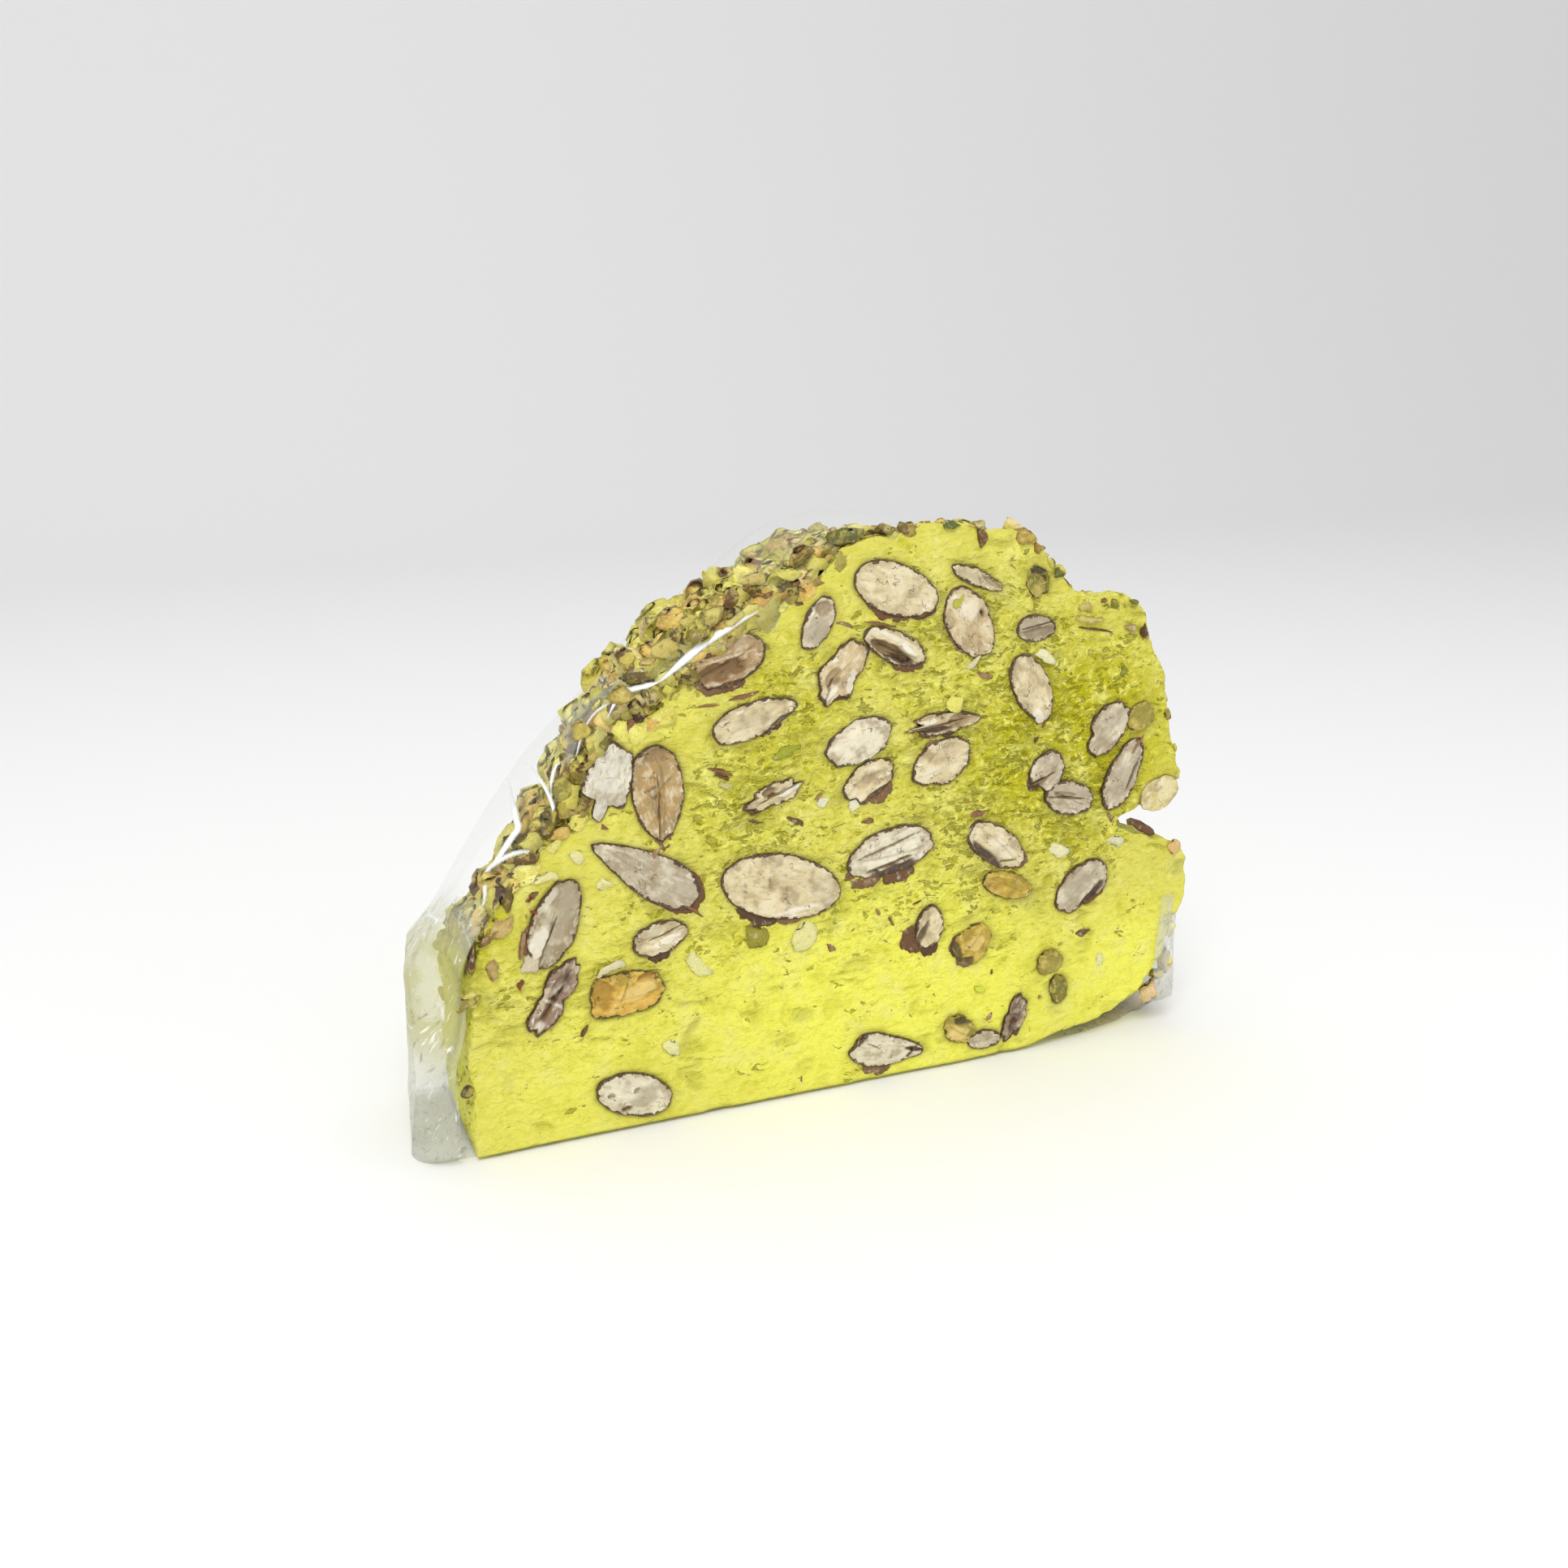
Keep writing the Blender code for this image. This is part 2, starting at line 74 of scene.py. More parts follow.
# Smooth random values from -1 to 1: a lattice of hashed values, eased between its corners
def noiseAt(points, size, seed=0):
    p = np.asarray(points, float) / size
    cell = np.floor(p).astype(np.int64)
    f = p - cell
    f = f * f * (3 - 2 * f)
    total = 0
    for dx in (0, 1):
        for dy in (0, 1):
            for dz in (0, 1):
                key = ((cell[..., 0] + dx) * 374761393 + (cell[..., 1] + dy) * 668265263
                       + (cell[..., 2] + dz) * 1440662683 + seed * 974634777)
                key = (key ^ (key >> 13)) * 1274126177
                value = ((key ^ (key >> 16)) & 65535) / 32767.5 - 1
                wx = f[..., 0] if dx else 1 - f[..., 0]
                wy = f[..., 1] if dy else 1 - f[..., 1]
                wz = f[..., 2] if dz else 1 - f[..., 2]
                total = total + value * wx * wy * wz
    return total


# Several sizes of noise summed, each half the size and the given share of the last
def layeredNoise(points, size, layers=3, share=0.5, seed=0):
    total, weight = 0, 0
    for k in range(layers):
        total = total + noiseAt(points, size / 2 ** k, seed + 17 * k) * share ** k
        weight += share ** k
    return total / weight


# Catmull-Rom curve through rows of numbers, sampled evenly by its length over the first two
def smoothCurve(points, count):
    points = np.array(points, float)
    padded = np.vstack([2 * points[0] - points[1], points, 2 * points[-1] - points[-2]])
    t = np.linspace(0, len(points) - 1, 30 * len(points))
    i = np.minimum(t.astype(int), len(points) - 2)
    f = (t - i)[:, None]
    a, b, c, d = padded[i], padded[i + 1], padded[i + 2], padded[i + 3]
    curve = 0.5 * (2 * b + (c - a) * f + (2 * a - 5 * b + 4 * c - d) * f ** 2
                   + (3 * b - a - 3 * c + d) * f ** 3)
    steps = np.linalg.norm(np.diff(curve[:, :2], axis=0), axis=1)
    along = np.concatenate([[0], np.cumsum(steps)])
    even = np.linspace(0, along[-1], count + 1)
    return np.stack([np.interp(even, along, column) for column in curve.T], axis=1)


# Outward direction in the x-z plane at each point of a closed clockwise ring
def outward(ring):
    ahead = np.roll(ring, -1, axis=0) - np.roll(ring, 1, axis=0)
    ahead /= np.linalg.norm(ahead, axis=1)[:, None]
    return np.stack([-ahead[:, 1], ahead[:, 0]], axis=1)


# Moves a ring in by fall along its outward normals, level with the floor where it is low, and
# keeps it right of its lower left corner
def drawIn(ring, fall):
    normal = outward(ring) * np.stack([np.ones(len(ring)), smoothStep(ring[:, 1], 1, 12)], axis=1)
    moved = ring - normal * fall[:, None]
    corner = np.argmin(ring[:, 0] + ring[:, 1])
    moved[:, 0] = np.maximum(moved[:, 0], ring[corner, 0] + fall[corner])
    return moved


# Index rows of a grid's four-sided faces; wrapped joins the last column to the first
def gridFaces(rows, columns, wrapped=False, start=0):
    i, j = np.meshgrid(np.arange(rows - 1), np.arange(columns if wrapped else columns - 1),
                       indexing="ij")
    k = (j + 1) % columns
    quads = np.stack([i * columns + j, i * columns + k, (i + 1) * columns + k, (i + 1) * columns + j], -1)
    return quads.reshape(-1, 4) + start


# Triangles from a pole to a ring of points, turned round where flip is true
def fanFaces(pole, ringStart, columns, flip=False):
    j = np.arange(columns)
    near, far = ringStart + j, ringStart + (j + 1) % columns
    pair = (far, near) if flip else (near, far)
    return np.stack([np.full(columns, pole), *pair], axis=1)


# Where the slice stands in the frame

# Cut nuts of the face: x, height, length, width, turn, taper, raggedness, flesh, split, step
almondCuts = {
    "almond_01": (7, 100, 18.9, 9.6, -19, 0.08, 0.015, "cream", 0.0, 0.0),
    "almond_02": (23.3, 92.5, 15.5, 9.4, -59, 0.10, 0.04, "tan", 0.3, 0.3),
    "almond_03": (-9.6, 94.8, 10.5, 5.6, 61, 0.00, 0.05, "grey", 0.0, -0.3),
    "almond_04": (24.9, 101.2, 12, 3.2, -23, 0.20, 0.05, "cream", 0.0, 0.0),
    "almond_05": (38.8, 90.5, 9.2, 5.1, -1, 0.20, 0.03, "dull", 0.5, 0.2),
    "almond_06": (6.6, 89.2, 14, 6, -24, -0.10, 0.04, "cream", 1.0, -0.7),
    "almond_07": (-4.5, 85, 13, 8.2, 54, 0.00, 0.09, "tan", 0.3, 0.4),
    "almond_08": (38.2, 78.5, 15.5, 8, -61, 0.05, 0.03, "cream", 0.2, 0.2),
    "almond_09": (-27.9, 89.0, 15.4, 9.4, 17, 0.10, 0.03, "brown", 0.8, -0.8),
    "almond_10": (-22.5, 77.7, 17.4, 6.6, 16, 0.25, 0.03, "cream", 0.0, 0.2),
    "almond_11": (-0.7, 71.3, 14.8, 8.1, 19, 0.00, 0.05, "white", 0.0, 0.0),
    "almond_12": (1.6, 63.2, 11.5, 7.6, 28, 0.10, 0.05, "cream", 0.3, 0.3),
    "almond_13": (17.7, 73.1, 16.8, 4.1, 3, 0.15, 0.08, "tan", 0.5, 0.3),
    "almond_14": (17.9, 65.3, 13.4, 8.9, 20, 0.10, 0.05, "cream", 0.2, 0.3),
    "almond_15": (-51.6, 68.2, 14.2, 9.4, 71, -0.10, 0.08, "ash", 0.0, 0.3),
    "almond_16": (-42, 65.7, 17.6, 10, -84, 0.12, 0.03, "amber", 0.7, 0.0),
    "almond_17": (-18.6, 62.7, 11.9, 4.6, 19, 0.10, 0.09, "cream", 0.6, 0.3),
    "almond_18": (42.6, 60.8, 9, 7.7, 40, 0.00, 0.06, "grey", 0.3, 0.3),
    "almond_19": (48.3, 54.6, 12, 7, -16, 0.00, 0.03, "grey", 0.8, 0.3),
    "almond_20": (57.2, 68.5, 12.8, 7.9, 49, 0.05, 0.06, "grey", 0.0, 0.3),
    "almond_21": (61.6, 58.2, 15.7, 7.5, 63, 0.10, 0.04, "grey", 0.2, 0.2),
    "almond_22": (71.4, 53.0, 9.6, 7.0, 24, 0.10, 0.04, "peeled", 0.0, 0.0),
    "almond_23": (6.6, 48.3, 19.3, 9.4, 12, 0.00, 0.04, "white", 0.6, -0.4),
    "almond_24": (31.3, 46.4, 15.4, 7.4, -36, 0.10, 0.05, "cream", 0.4, 0.5),
    "almond_25": (52.4, 34.8, 13.8, 9.4, 36, -0.10, 0.04, "grey", 0.0, 0.3),
    "almond_26": (-17, 44.3, 25.5, 12.6, -15, 0.05, 0.012, "cream", 0.25, 0.0),
    "almond_27": (-44.7, 50.9, 23.7, 8, -33, -0.50, 0.02, "grey", 0.3, 0.2),
    "almond_28": (-42, 37.8, 10.9, 6.3, 13, 0.15, 0.04, "cream", 0.4, 0.5),
    "almond_29": (-62.3, 43.6, 17.4, 8.6, 67, 0.10, 0.04, "dull", 0.3, 0.4),
    "almond_30": (-62.8, 29.7, 14.5, 6.5, 55, 0.10, 0.12, "skin", 0.4, 0.4),
    "almond_31": (15.8, 31.4, 8.9, 6.2, 81, 0.10, 0.03, "cream", 0.0, 0.2),
    "almond_32": (-47.8, 7.2, 15.4, 8.4, -18, 0.00, 0.03, "white", 0.0, 0.3),
    "almond_33": (6.4, 6.4, 17, 6.6, -10, 0.45, 0.04, "white", 0.3, 0.2),
    "almond_34": (29.6, 4.5, 8.3, 3.8, -4, 0.00, 0.06, "grey", 0.3, 0.2),
    "almond_35": (36.8, 8.2, 9.6, 5.2, 69, 0.00, 0.11, "skin", 0.5, 0.5),
}
pistachioCuts = {
    "pistachio_01": (38.8, 99.6, 6.2, 5.2, -73, 0.10, 0.08, "green", 0.5, 0.4),
    "pistachio_02": (65.3, 70.2, 6.6, 5.5, 35, 0.00, 0.05, "olive", 0.0, 0.2),
    "pistachio_03": (33.9, 37.7, 12, 5.3, -19, 0.00, 0.04, "honey", 0.3, 0.3),
    "pistachio_04": (-48.9, 27.9, 14.7, 8.2, 2, 0.10, 0.035, "golden", 0.3, 0.4),
    "pistachio_05": (25.8, 26.1, 9.3, 7.7, 32, 0.00, 0.07, "honey", 0.5, 0.5),
    "pistachio_06": (45.3, 19.1, 6.5, 4.9, -11, 0.10, 0.09, "olive", 0.0, 0.3),
    "pistachio_07": (47.7, 12.8, 6.5, 4, -77, 0.00, 0.08, "green", 0.0, 0.2),
    "pistachio_08": (23.5, 7.8, 7.5, 5.6, -25, 0.00, 0.09, "olive", 0.5, 0.3),
}
# Places where a nut's rim is broken in: angle from its long axis, width in degrees, share
nutBites = {
    "almond_15": [(142, 20, 0.40), (216, 24, 0.40)],
    "almond_25": [(262, 30, 0.20)],
    "almond_20": [(128, 22, 0.20)],
    "almond_14": [(236, 16, 0.20)],
    "almond_17": [(20, 14, 0.35), (150, 16, 0.30), (250, 20, 0.3)],
    "almond_13": [(165, 14, 0.35), (215, 20, 0.3)],
    "almond_07": [(70, 18, 0.14), (215, 16, 0.22), (270, 14, 0.2)],
    "almond_18": [(205, 22, 0.22)],
    "almond_12": [(205, 18, 0.2)],
    "almond_30": [(100, 24, 0.25), (280, 18, 0.3)],
    "almond_35": [(80, 24, 0.25), (200, 20, 0.25)],
    "almond_33": [(160, 20, 0.12)],
    "pistachio_04": [(45, 16, -0.16), (225, 16, -0.16), (135, 16, -0.14), (315, 16, -0.14)],
    "pistachio_01": [(10, 20, 0.2)],
    "pistachio_05": [(35, 20, -0.1), (180, 30, 0.1)],
}
# Marks on single nuts: kind, place from the middle along the slice's axes, half length, half
# width, turn and strength
nutMarks = {
    "almond_02": [("hole", 2.6, 1.8, 0.5, 0.8, 20, 1.0), ("pale", -0.6, 2.6, 2.4, 1.7, -20, 0.6),
                  ("hollow", 0.5, -2.5, 2.6, 2.6, 0, 0.25)],
    "almond_03": [("grey", -0.4, -1.2, 2.6, 2.0, 61, 1.0), ("hollow", 1.0, 2.6, 1.6, 1.5, 0, 0.7)],
    "almond_04": [("hollow", 3.2, -1.0, 2.4, 0.6, -30, 0.6), ("grey", -1.0, 0.3, 4.0, 0.7, -23, 0.7)],
    "almond_05": [("grey", 0, 0.2, 4.2, 2.2, 0, 0.9), ("hollow", 0.6, -0.7, 3.2, 1.0, 4, 0.8),
                  ("crack", 0, 0.6, 3.8, 0.14, 10, 1.0)],
    "almond_06": [("hollow", -1.0, -0.6, 4.6, 1.15, -27, 1.6), ("pale", 2.6, -0.6, 2.3, 0.75, -36, 1.0),
                  ("skin", 1.4, -2.6, 3.6, 0.8, -16, 1.0), ("pale", 0.0, 1.6, 5.6, 0.55, -25, 0.7)],
    "almond_07": [("pale", -2.2, -3.6, 1.8, 1.0, 40, 0.8), ("hollow", -2.0, -1.0, 1.4, 2.2, -30, 0.7),
                  ("crack", -2.6, -3.0, 2.4, 0.2, 65, 1.0), ("pale", 1.9, -2.0, 1.0, 2.4, -20, 0.7)],
    "almond_08": [("hollow", 0.4, 0.6, 1.3, 3.0, 10, 0.25), ("pale", 1.4, -5.6, 1.2, 1.2, 0, 0.9)],
    "almond_09": [("hollow", -1.6, -1.8, 5.3, 1.7, 13, 1.5), ("pale", -1.2, 0.5, 5.6, 0.28, 12, 0.35),
                  ("skin", 0.6, -4.2, 4.6, 0.5, 14, 0.9), ("hollow", 0.5, 2.6, 5.5, 0.8, 17, 0.4)],
    "almond_10": [("grey", -2.0, -0.4, 3.0, 1.5, 16, 0.5), ("skin", 5.2, -0.6, 2.6, 0.5, 30, 0.9)],
    "almond_12": [("skin", 1.8, -2.6, 4.2, 0.75, 32, 1.0), ("hollow", -1.0, 0, 2.4, 1.4, 28, 0.35)],
    "almond_13": [("skin", -2.0, -1.1, 4.6, 0.6, 4, 1.0), ("pale", -3.6, 0.6, 3.0, 0.6, 8, 0.9),
                  ("hollow", 3.6, 0.2, 2.4, 1.2, 0, 0.6), ("crack", -1.0, -0.2, 5.5, 0.2, 6, 1.0)],
    "almond_14": [("hollow", 0.6, 1.4, 4.0, 1.6, 20, 0.3), ("pale", -2.6, -1.6, 2.2, 1.2, 20, 0.5)],
    "almond_16": [("hollow", 0.0, 7.2, 2.6, 1.3, 0, 0.8), ("crack", 0.2, -5.0, 0.16, 3.8, 0, 0.9),
                  ("crack", 0.0, 1.4, 0.14, 2.6, 10, 0.6), ("crack", -1.5, 0.8, 1.9, 0.13, 20, 0.6),
                  ("crack", 1.3, 1.6, 1.7, 0.13, 40, 0.5), ("hollow", 0.0, -2.2, 1.0, 2.6, 4, 0.45)],
    "almond_17": [("hollow", -1.0, 0.4, 1.4, 1.2, 30, 1.0), ("crack", 0.6, 0.2, 5.0, 0.2, 22, 1.0),
                  ("pale", 2.8, 0.6, 2.2, 0.8, 25, 0.9)],
    "almond_18": [("crack", -0.4, -1.2, 2.6, 0.16, 25, 1.0), ("hollow", -1.8, -2.2, 1.6, 0.9, 20, 0.8)],
    "almond_19": [("grey", 0, 1.4, 4.6, 1.4, -14, 0.9), ("crack", -0.4, 0.1, 4.6, 0.2, -8, 1.0),
                  ("hollow", -1.2, 0.8, 2.6, 0.7, -12, 0.6)],
    "almond_20": [("grey", 1.0, 1.8, 2.6, 1.8, 49, 0.4)],
    "almond_21": [("grey", -0.8, -1.6, 4.6, 2.0, 63, 0.8), ("skin", 2.6, 0.4, 4.4, 0.4, 66, 0.8)],
    "almond_23": [("skin", 0.6, -4.0, 7.4, 1.35, 12, 1.0), ("crack", -0.6, 1.3, 8.0, 0.2, 17, 1.0),
                  ("pale", 0, -0.4, 7.0, 1.5, 13, 0.5), ("hollow", -0.5, -2.5, 5.5, 0.45, 14, 0.9),
                  ("pale", 4.9, -2.7, 2.6, 0.6, 30, 0.9)],
    "almond_24": [("skin", -2.6, -1.6, 5.4, 0.9, -42, 1.0), ("pale", 1.0, -0.6, 4.0, 1.6, -36, 0.5),
                  ("crack", 2.6, -3.4, 2.0, 0.2, 0, 1.0)],
    "almond_25": [("skin", 2.6, -2.0, 4.6, 0.9, 42, 1.0), ("grey", -1.4, 0.0, 3.6, 2.0, 36, 0.6)],
    "almond_26": [("hollow", 0.5, 0.8, 5.2, 1.6, -8, 0.22), ("pale", 2.8, -5.0, 6.0, 0.55, 6, 0.9),
                  ("crack", -7.8, 0.8, 0.14, 1.0, 0, 0.7), ("crack", -2.6, 1.2, 0.14, 1.8, 0, 0.5),
                  ("grey", 8.6, -1.6, 2.6, 3.0, 0, 0.4)],
    "almond_27": [("grey", 8.0, -4.6, 2.4, 2.0, -30, 0.9), ("hollow", -3.0, 2.6, 5.0, 0.8, -32, 0.3)],
    "almond_28": [("pale", 1.6, -0.4, 3.4, 0.8, 24, 1.0), ("crack", 0.4, 0.7, 3.8, 0.15, 20, 0.9),
                  ("grey", -1.6, 1.2, 2.4, 1.0, 20, 0.7)],
    "almond_29": [("grey", 0.6, 0.8, 7.4, 2.4, 67, 0.75), ("pale", -3.4, -3.4, 3.6, 1.5, 66, 0.9),
                  ("pale", -1.4, 4.6, 3.2, 1.1, 50, 0.6), ("crack", -1.6, -3.0, 4.4, 0.16, 66, 1.0)],
    "almond_30": [("skin", 1.0, 2.0, 3.6, 1.4, 55, 0.5), ("pale", 0.8, 1.6, 1.6, 0.4, 30, 0.9),
                  ("pale", -0.6, -1.2, 2.0, 0.35, -30, 0.9), ("pale", -3.2, -5.4, 1.0, 0.9, 0, 0.8),
                  ("hollow", -1.4, -2.2, 2.6, 0.7, 60, 0.8), ("crack", 0.6, 0.4, 5.0, 0.3, 58, 0.9)],
    "almond_31": [("skin", -1.9, -1.4, 3.6, 0.7, 62, 0.9)],
    "almond_32": [("grey", 1.8, -0.6, 2.8, 1.9, 20, 1.0), ("hollow", -1.6, -2.6, 1.0, 0.6, 0, 1.0),
                  ("hollow", 0.2, 0.8, 0.7, 0.5, 40, 0.9), ("hollow", -4.6, 0.6, 0.7, 0.6, 0, 0.7),
                  ("grey", 4.4, 1.2, 1.6, 1.4, 0, 0.7), ("pale", -2.2, 1.0, 3.4, 1.6, -18, 0.5)],
    "almond_33": [("skin", 6.4, -0.9, 2.4, 0.45, -16, 1.0), ("crack", -3.4, 1.6, 1.8, 0.14, -30, 0.8),
                  ("skin", -5.4, 3.2, 1.6, 0.6, 40, 1.0)],
    "almond_35": [("skin", 0, 0, 3.4, 1.4, 69, 0.6), ("pale", 0.6, 1.4, 1.0, 0.6, 0, 0.8),
                  ("hollow", -0.2, -1.2, 1.0, 1.2, 0, 0.6)],
    "pistachio_01": [("skin", 0.2, 2.4, 2.0, 0.9, -8, 1.0), ("hole", 0.8, 0.8, 1.0, 0.8, 0, 0.6)],
    "pistachio_03": [("hollow", -2.6, 0.6, 2.6, 1.4, -19, 0.5)],
    "pistachio_04": [("hollow", -4.8, 0.2, 2.0, 3.0, 10, 0.75), ("crack", -0.6, 0.2, 0.2, 2.6, -20, 0.5),
                     ("pale", 2.0, 0.2, 4.0, 1.6, 15, 0.8), ("hollow", 4.6, 2.8, 2.6, 0.8, 12, 0.8)],
    "pistachio_05": [("skin", -3.2, -1.0, 0.9, 3.0, 20, 0.9), ("skin", -1.4, -3.4, 2.0, 0.8, 0, 0.9),
                     ("pale", 0.8, 0.2, 2.2, 1.6, 20, 0.7)],
    "pistachio_08": [("skin", 1.0, 1.9, 2.2, 0.8, 0, 0.9), ("pale", -0.4, -0.8, 2.6, 1.5, 0, 0.9)],
}
backCuts = {
    "back_almond_1": (-22, 76, 18, 9, 35, 0.10, 0.03, "cream", 0.3, 0.3),
    "back_almond_2": (16, 88, 17, 9, -40, 0.05, 0.04, "tan", 0.3, 0.2),
    "back_almond_3": (46, 66, 18, 9, 62, 0.10, 0.03, "grey", 0.0, 0.3),
    "back_almond_4": (-49, 36, 18, 10, -28, 0.10, 0.04, "cream", 0.6, -0.4),
    "back_almond_5": (-15, 40, 22, 11, 14, 0.05, 0.02, "cream", 0.2, 0.0),
    "back_almond_6": (24, 46, 19, 10, -12, 0.05, 0.04, "white", 0.4, 0.3),
    "back_almond_7": (50, 24, 16, 9, 32, 0.00, 0.05, "grey", 0.0, 0.3),
    "back_almond_8": (-38, 15, 17, 9, -16, 0.10, 0.03, "cream", 0.5, 0.2),
}


# The frame's own nuts say where the slice's millimetres lie: the mean of box middle less place
def frameShift():
    offsets = []
    for name, cut in {**almondCuts, **pistachioCuts}.items():
        low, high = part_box(name)
        offsets.append((500 * (low.x + high.x) - cut[0], 500 * (low.z + high.z) - cut[1]))
    x = np.mean(offsets, axis=0)[0]
    y = 1000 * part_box("film")[0].y - slab["filmStart"]
    return np.array([x, y, 0.0])


shift = frameShift()

# The photograph's camera: turned and tilted about the aim, in degrees and millimetres
camera = {"turn": -25.14, "tilt": 14.39, "distance": 333.24, "aim": (-8.68, 0.0, 59.82),
          "focalShare": 2050 / 1932, "sensor": 36.0}
turn, tilt = math.radians(camera["turn"]), math.radians(camera["tilt"])
towardsCamera = np.array([math.sin(turn) * math.cos(tilt), -math.cos(turn) * math.cos(tilt), math.sin(tilt)])
cameraSpot = np.array(camera["aim"]) + towardsCamera * camera["distance"]


# Where points appear on the cut face's plane when seen from the camera: x and height
def seenOnFace(points):
    ray = points - cameraSpot
    reach = (slab["front"] - cameraSpot[1]) / ray[..., 1]
    return (cameraSpot + ray * reach[..., None])[..., [0, 2]]


# One piece of the scene from points in slice millimetres, lists of faces and point attributes
def makePiece(name, points, faces, finish, floats=None, vectors=None, colours=None, smooth=True):
    mesh = bpy.data.meshes.new(name)
    rows = []
    for group in (faces if isinstance(faces, list) else [faces]):
        rows += group.tolist()
    mesh.from_pydata(((points + shift) * mm).tolist(), [], rows)
    for key, values in (floats or {}).items():
        mesh.attributes.new(key, "FLOAT", "POINT").data.foreach_set("value", np.asarray(values, np.float32))
    for key, values in (vectors or {}).items():
        mesh.attributes.new(key, "FLOAT_VECTOR", "POINT").data.foreach_set(
            "vector", np.asarray(values, np.float32).ravel())
    for key, values in (colours or {}).items():
        rgba = np.concatenate([values, np.ones((len(values), 1))], axis=1)
        mesh.attributes.new(key, "FLOAT_COLOR", "POINT").data.foreach_set(
            "color", rgba.astype(np.float32).ravel())
    mesh.polygons.foreach_set("use_smooth", [smooth] * len(mesh.polygons))
    mesh.materials.append(finish)
    mesh.update()
    piece = bpy.data.objects.new(name, mesh)
    bpy.context.scene.collection.objects.link(piece)
    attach(piece, "root")
    return piece


# Shader arithmetic

# A colour given as 0 to 255 values on screen, as linear numbers
def tint(red, green, blue):
    screen = np.array([red, green, blue]) / 255
    return tuple(np.where(screen <= 0.04045, screen / 12.92, ((screen + 0.055) / 1.055) ** 2.4))


# A socket used in plain arithmetic: each operation adds its Math node
class Wire:
    def __init__(self, shader, socket):
        self.shader, self.socket = shader, socket

    def __add__(self, other):
        return self.shader.maths("ADD", self, other)

    def __sub__(self, other):
        return self.shader.maths("SUBTRACT", self, other)

    def __rsub__(self, other):
        return self.shader.maths("SUBTRACT", other, self)

    def __mul__(self, other):
        return self.shader.maths("MULTIPLY", self, other)

    def __pow__(self, other):
        return self.shader.maths("POWER", self, other)

    __radd__, __rmul__ = __add__, __mul__


# One material, built up from nodes
class Shader:
    def __init__(self, name):
        self.material = bpy.data.materials.new(name)
        self.material.use_nodes = True
        self.tree = self.material.node_tree
        self.tree.nodes.clear()

    # Any node: its type, its settings, which are set first, and its inputs by name or number
    def node(self, kind, settings=None, inputs=None, output=0):
        made = self.tree.nodes.new(kind)
        for key, value in (settings or {}).items():
            setattr(made, key, value)
        for key, value in (inputs or {}).items():
            if isinstance(value, Wire):
                self.tree.links.new(value.socket, made.inputs[key])
            else:
                made.inputs[key].default_value = value
        return Wire(self, made.outputs[output]) if len(made.outputs) else made

    # One Math node on two numbers or wires, kept within 0 and 1 where clamp is true
    def maths(self, operation, first, second=0.0, clamp=False):
        return self.node("ShaderNodeMath", {"operation": operation, "use_clamp": clamp},
                         {0: first, 1: second})

    def place(self):  # object coordinates in millimetres
        spot = self.node("ShaderNodeTexCoord", output="Object")
        return self.stretch(spot, (1 / mm, 1 / mm, 1 / mm))

    # The vector times a scale, axis by axis
    def stretch(self, vector, scale):
        return self.node("ShaderNodeVectorMath", {"operation": "MULTIPLY"}, {0: vector, 1: scale})

    # A point attribute of the mesh, as a number, vector or colour
    def attribute(self, name, output="Fac"):
        return self.node("ShaderNodeAttribute", {"attribute_name": name}, output=output)

    # Noise from 0 to 1 with features of about the given size in millimetres
    def noise(self, vector, size, detail=2.0, roughness=0.5):
        return self.node("ShaderNodeTexNoise", {"noise_dimensions": "3D"},
                         {"Vector": vector, "Scale": 1 / size, "Detail": detail, "Roughness": roughness})

    # The vector pushed about by a noise's colour, by up to half the amount each way
    def swirl(self, vector, size, amount):
        push = self.node("ShaderNodeTexNoise", {"noise_dimensions": "3D"},
                         {"Vector": vector, "Scale": 1 / size, "Detail": 1.0}, output="Color")
        return self.node("ShaderNodeVectorMath", {"operation": "MULTIPLY_ADD"},
                         {0: push, 1: (amount, amount, amount), 2: vector})

    # Broken cells of about the given size: a random level for each, and how far the gap is
    def cells(self, vector, size):
        inputs = {"Vector": vector, "Scale": 1 / size}
        chance = self.node("ShaderNodeTexVoronoi", {"feature": "F1"}, inputs, output="Color")
        level = self.node("ShaderNodeSeparateColor", None, {"Color": chance}, output="Red")
        gap = self.node("ShaderNodeTexVoronoi", {"feature": "DISTANCE_TO_EDGE"}, inputs, output="Distance")
        return level, gap

    def between(self, value, low, high):  # 0 below low and 1 above high, eased
        return self.node("ShaderNodeMapRange", {"interpolation_type": "SMOOTHSTEP"},
                         {"Value": value, "From Min": low, "From Max": high})

    # Two colours blended by the factor: 0 gives the first and 1 the second
    def mix(self, first, second, factor):
        first, second = [c if isinstance(c, Wire) else (*c, 1) for c in (first, second)]
        return self.node("ShaderNodeMix", {"data_type": "RGBA"},
                         {0: factor, 6: first, 7: second}, output=2)

    # The normal tilted by a height's slope, where a height of 1 stands for the distance
    def bump(self, height, strength, distance):
        return self.node("ShaderNodeBump", None,
                         {"Height": height, "Strength": strength, "Distance": distance})

    # The Principled surface with the given inputs
    def surface(self, inputs):
        return self.node("ShaderNodeBsdfPrincipled", None, inputs)

    # Links the surface to the output and gives the finished material
    def close(self, surface):
        self.node("ShaderNodeOutputMaterial", None, {"Surface": surface})
        return self.material


# Finishes

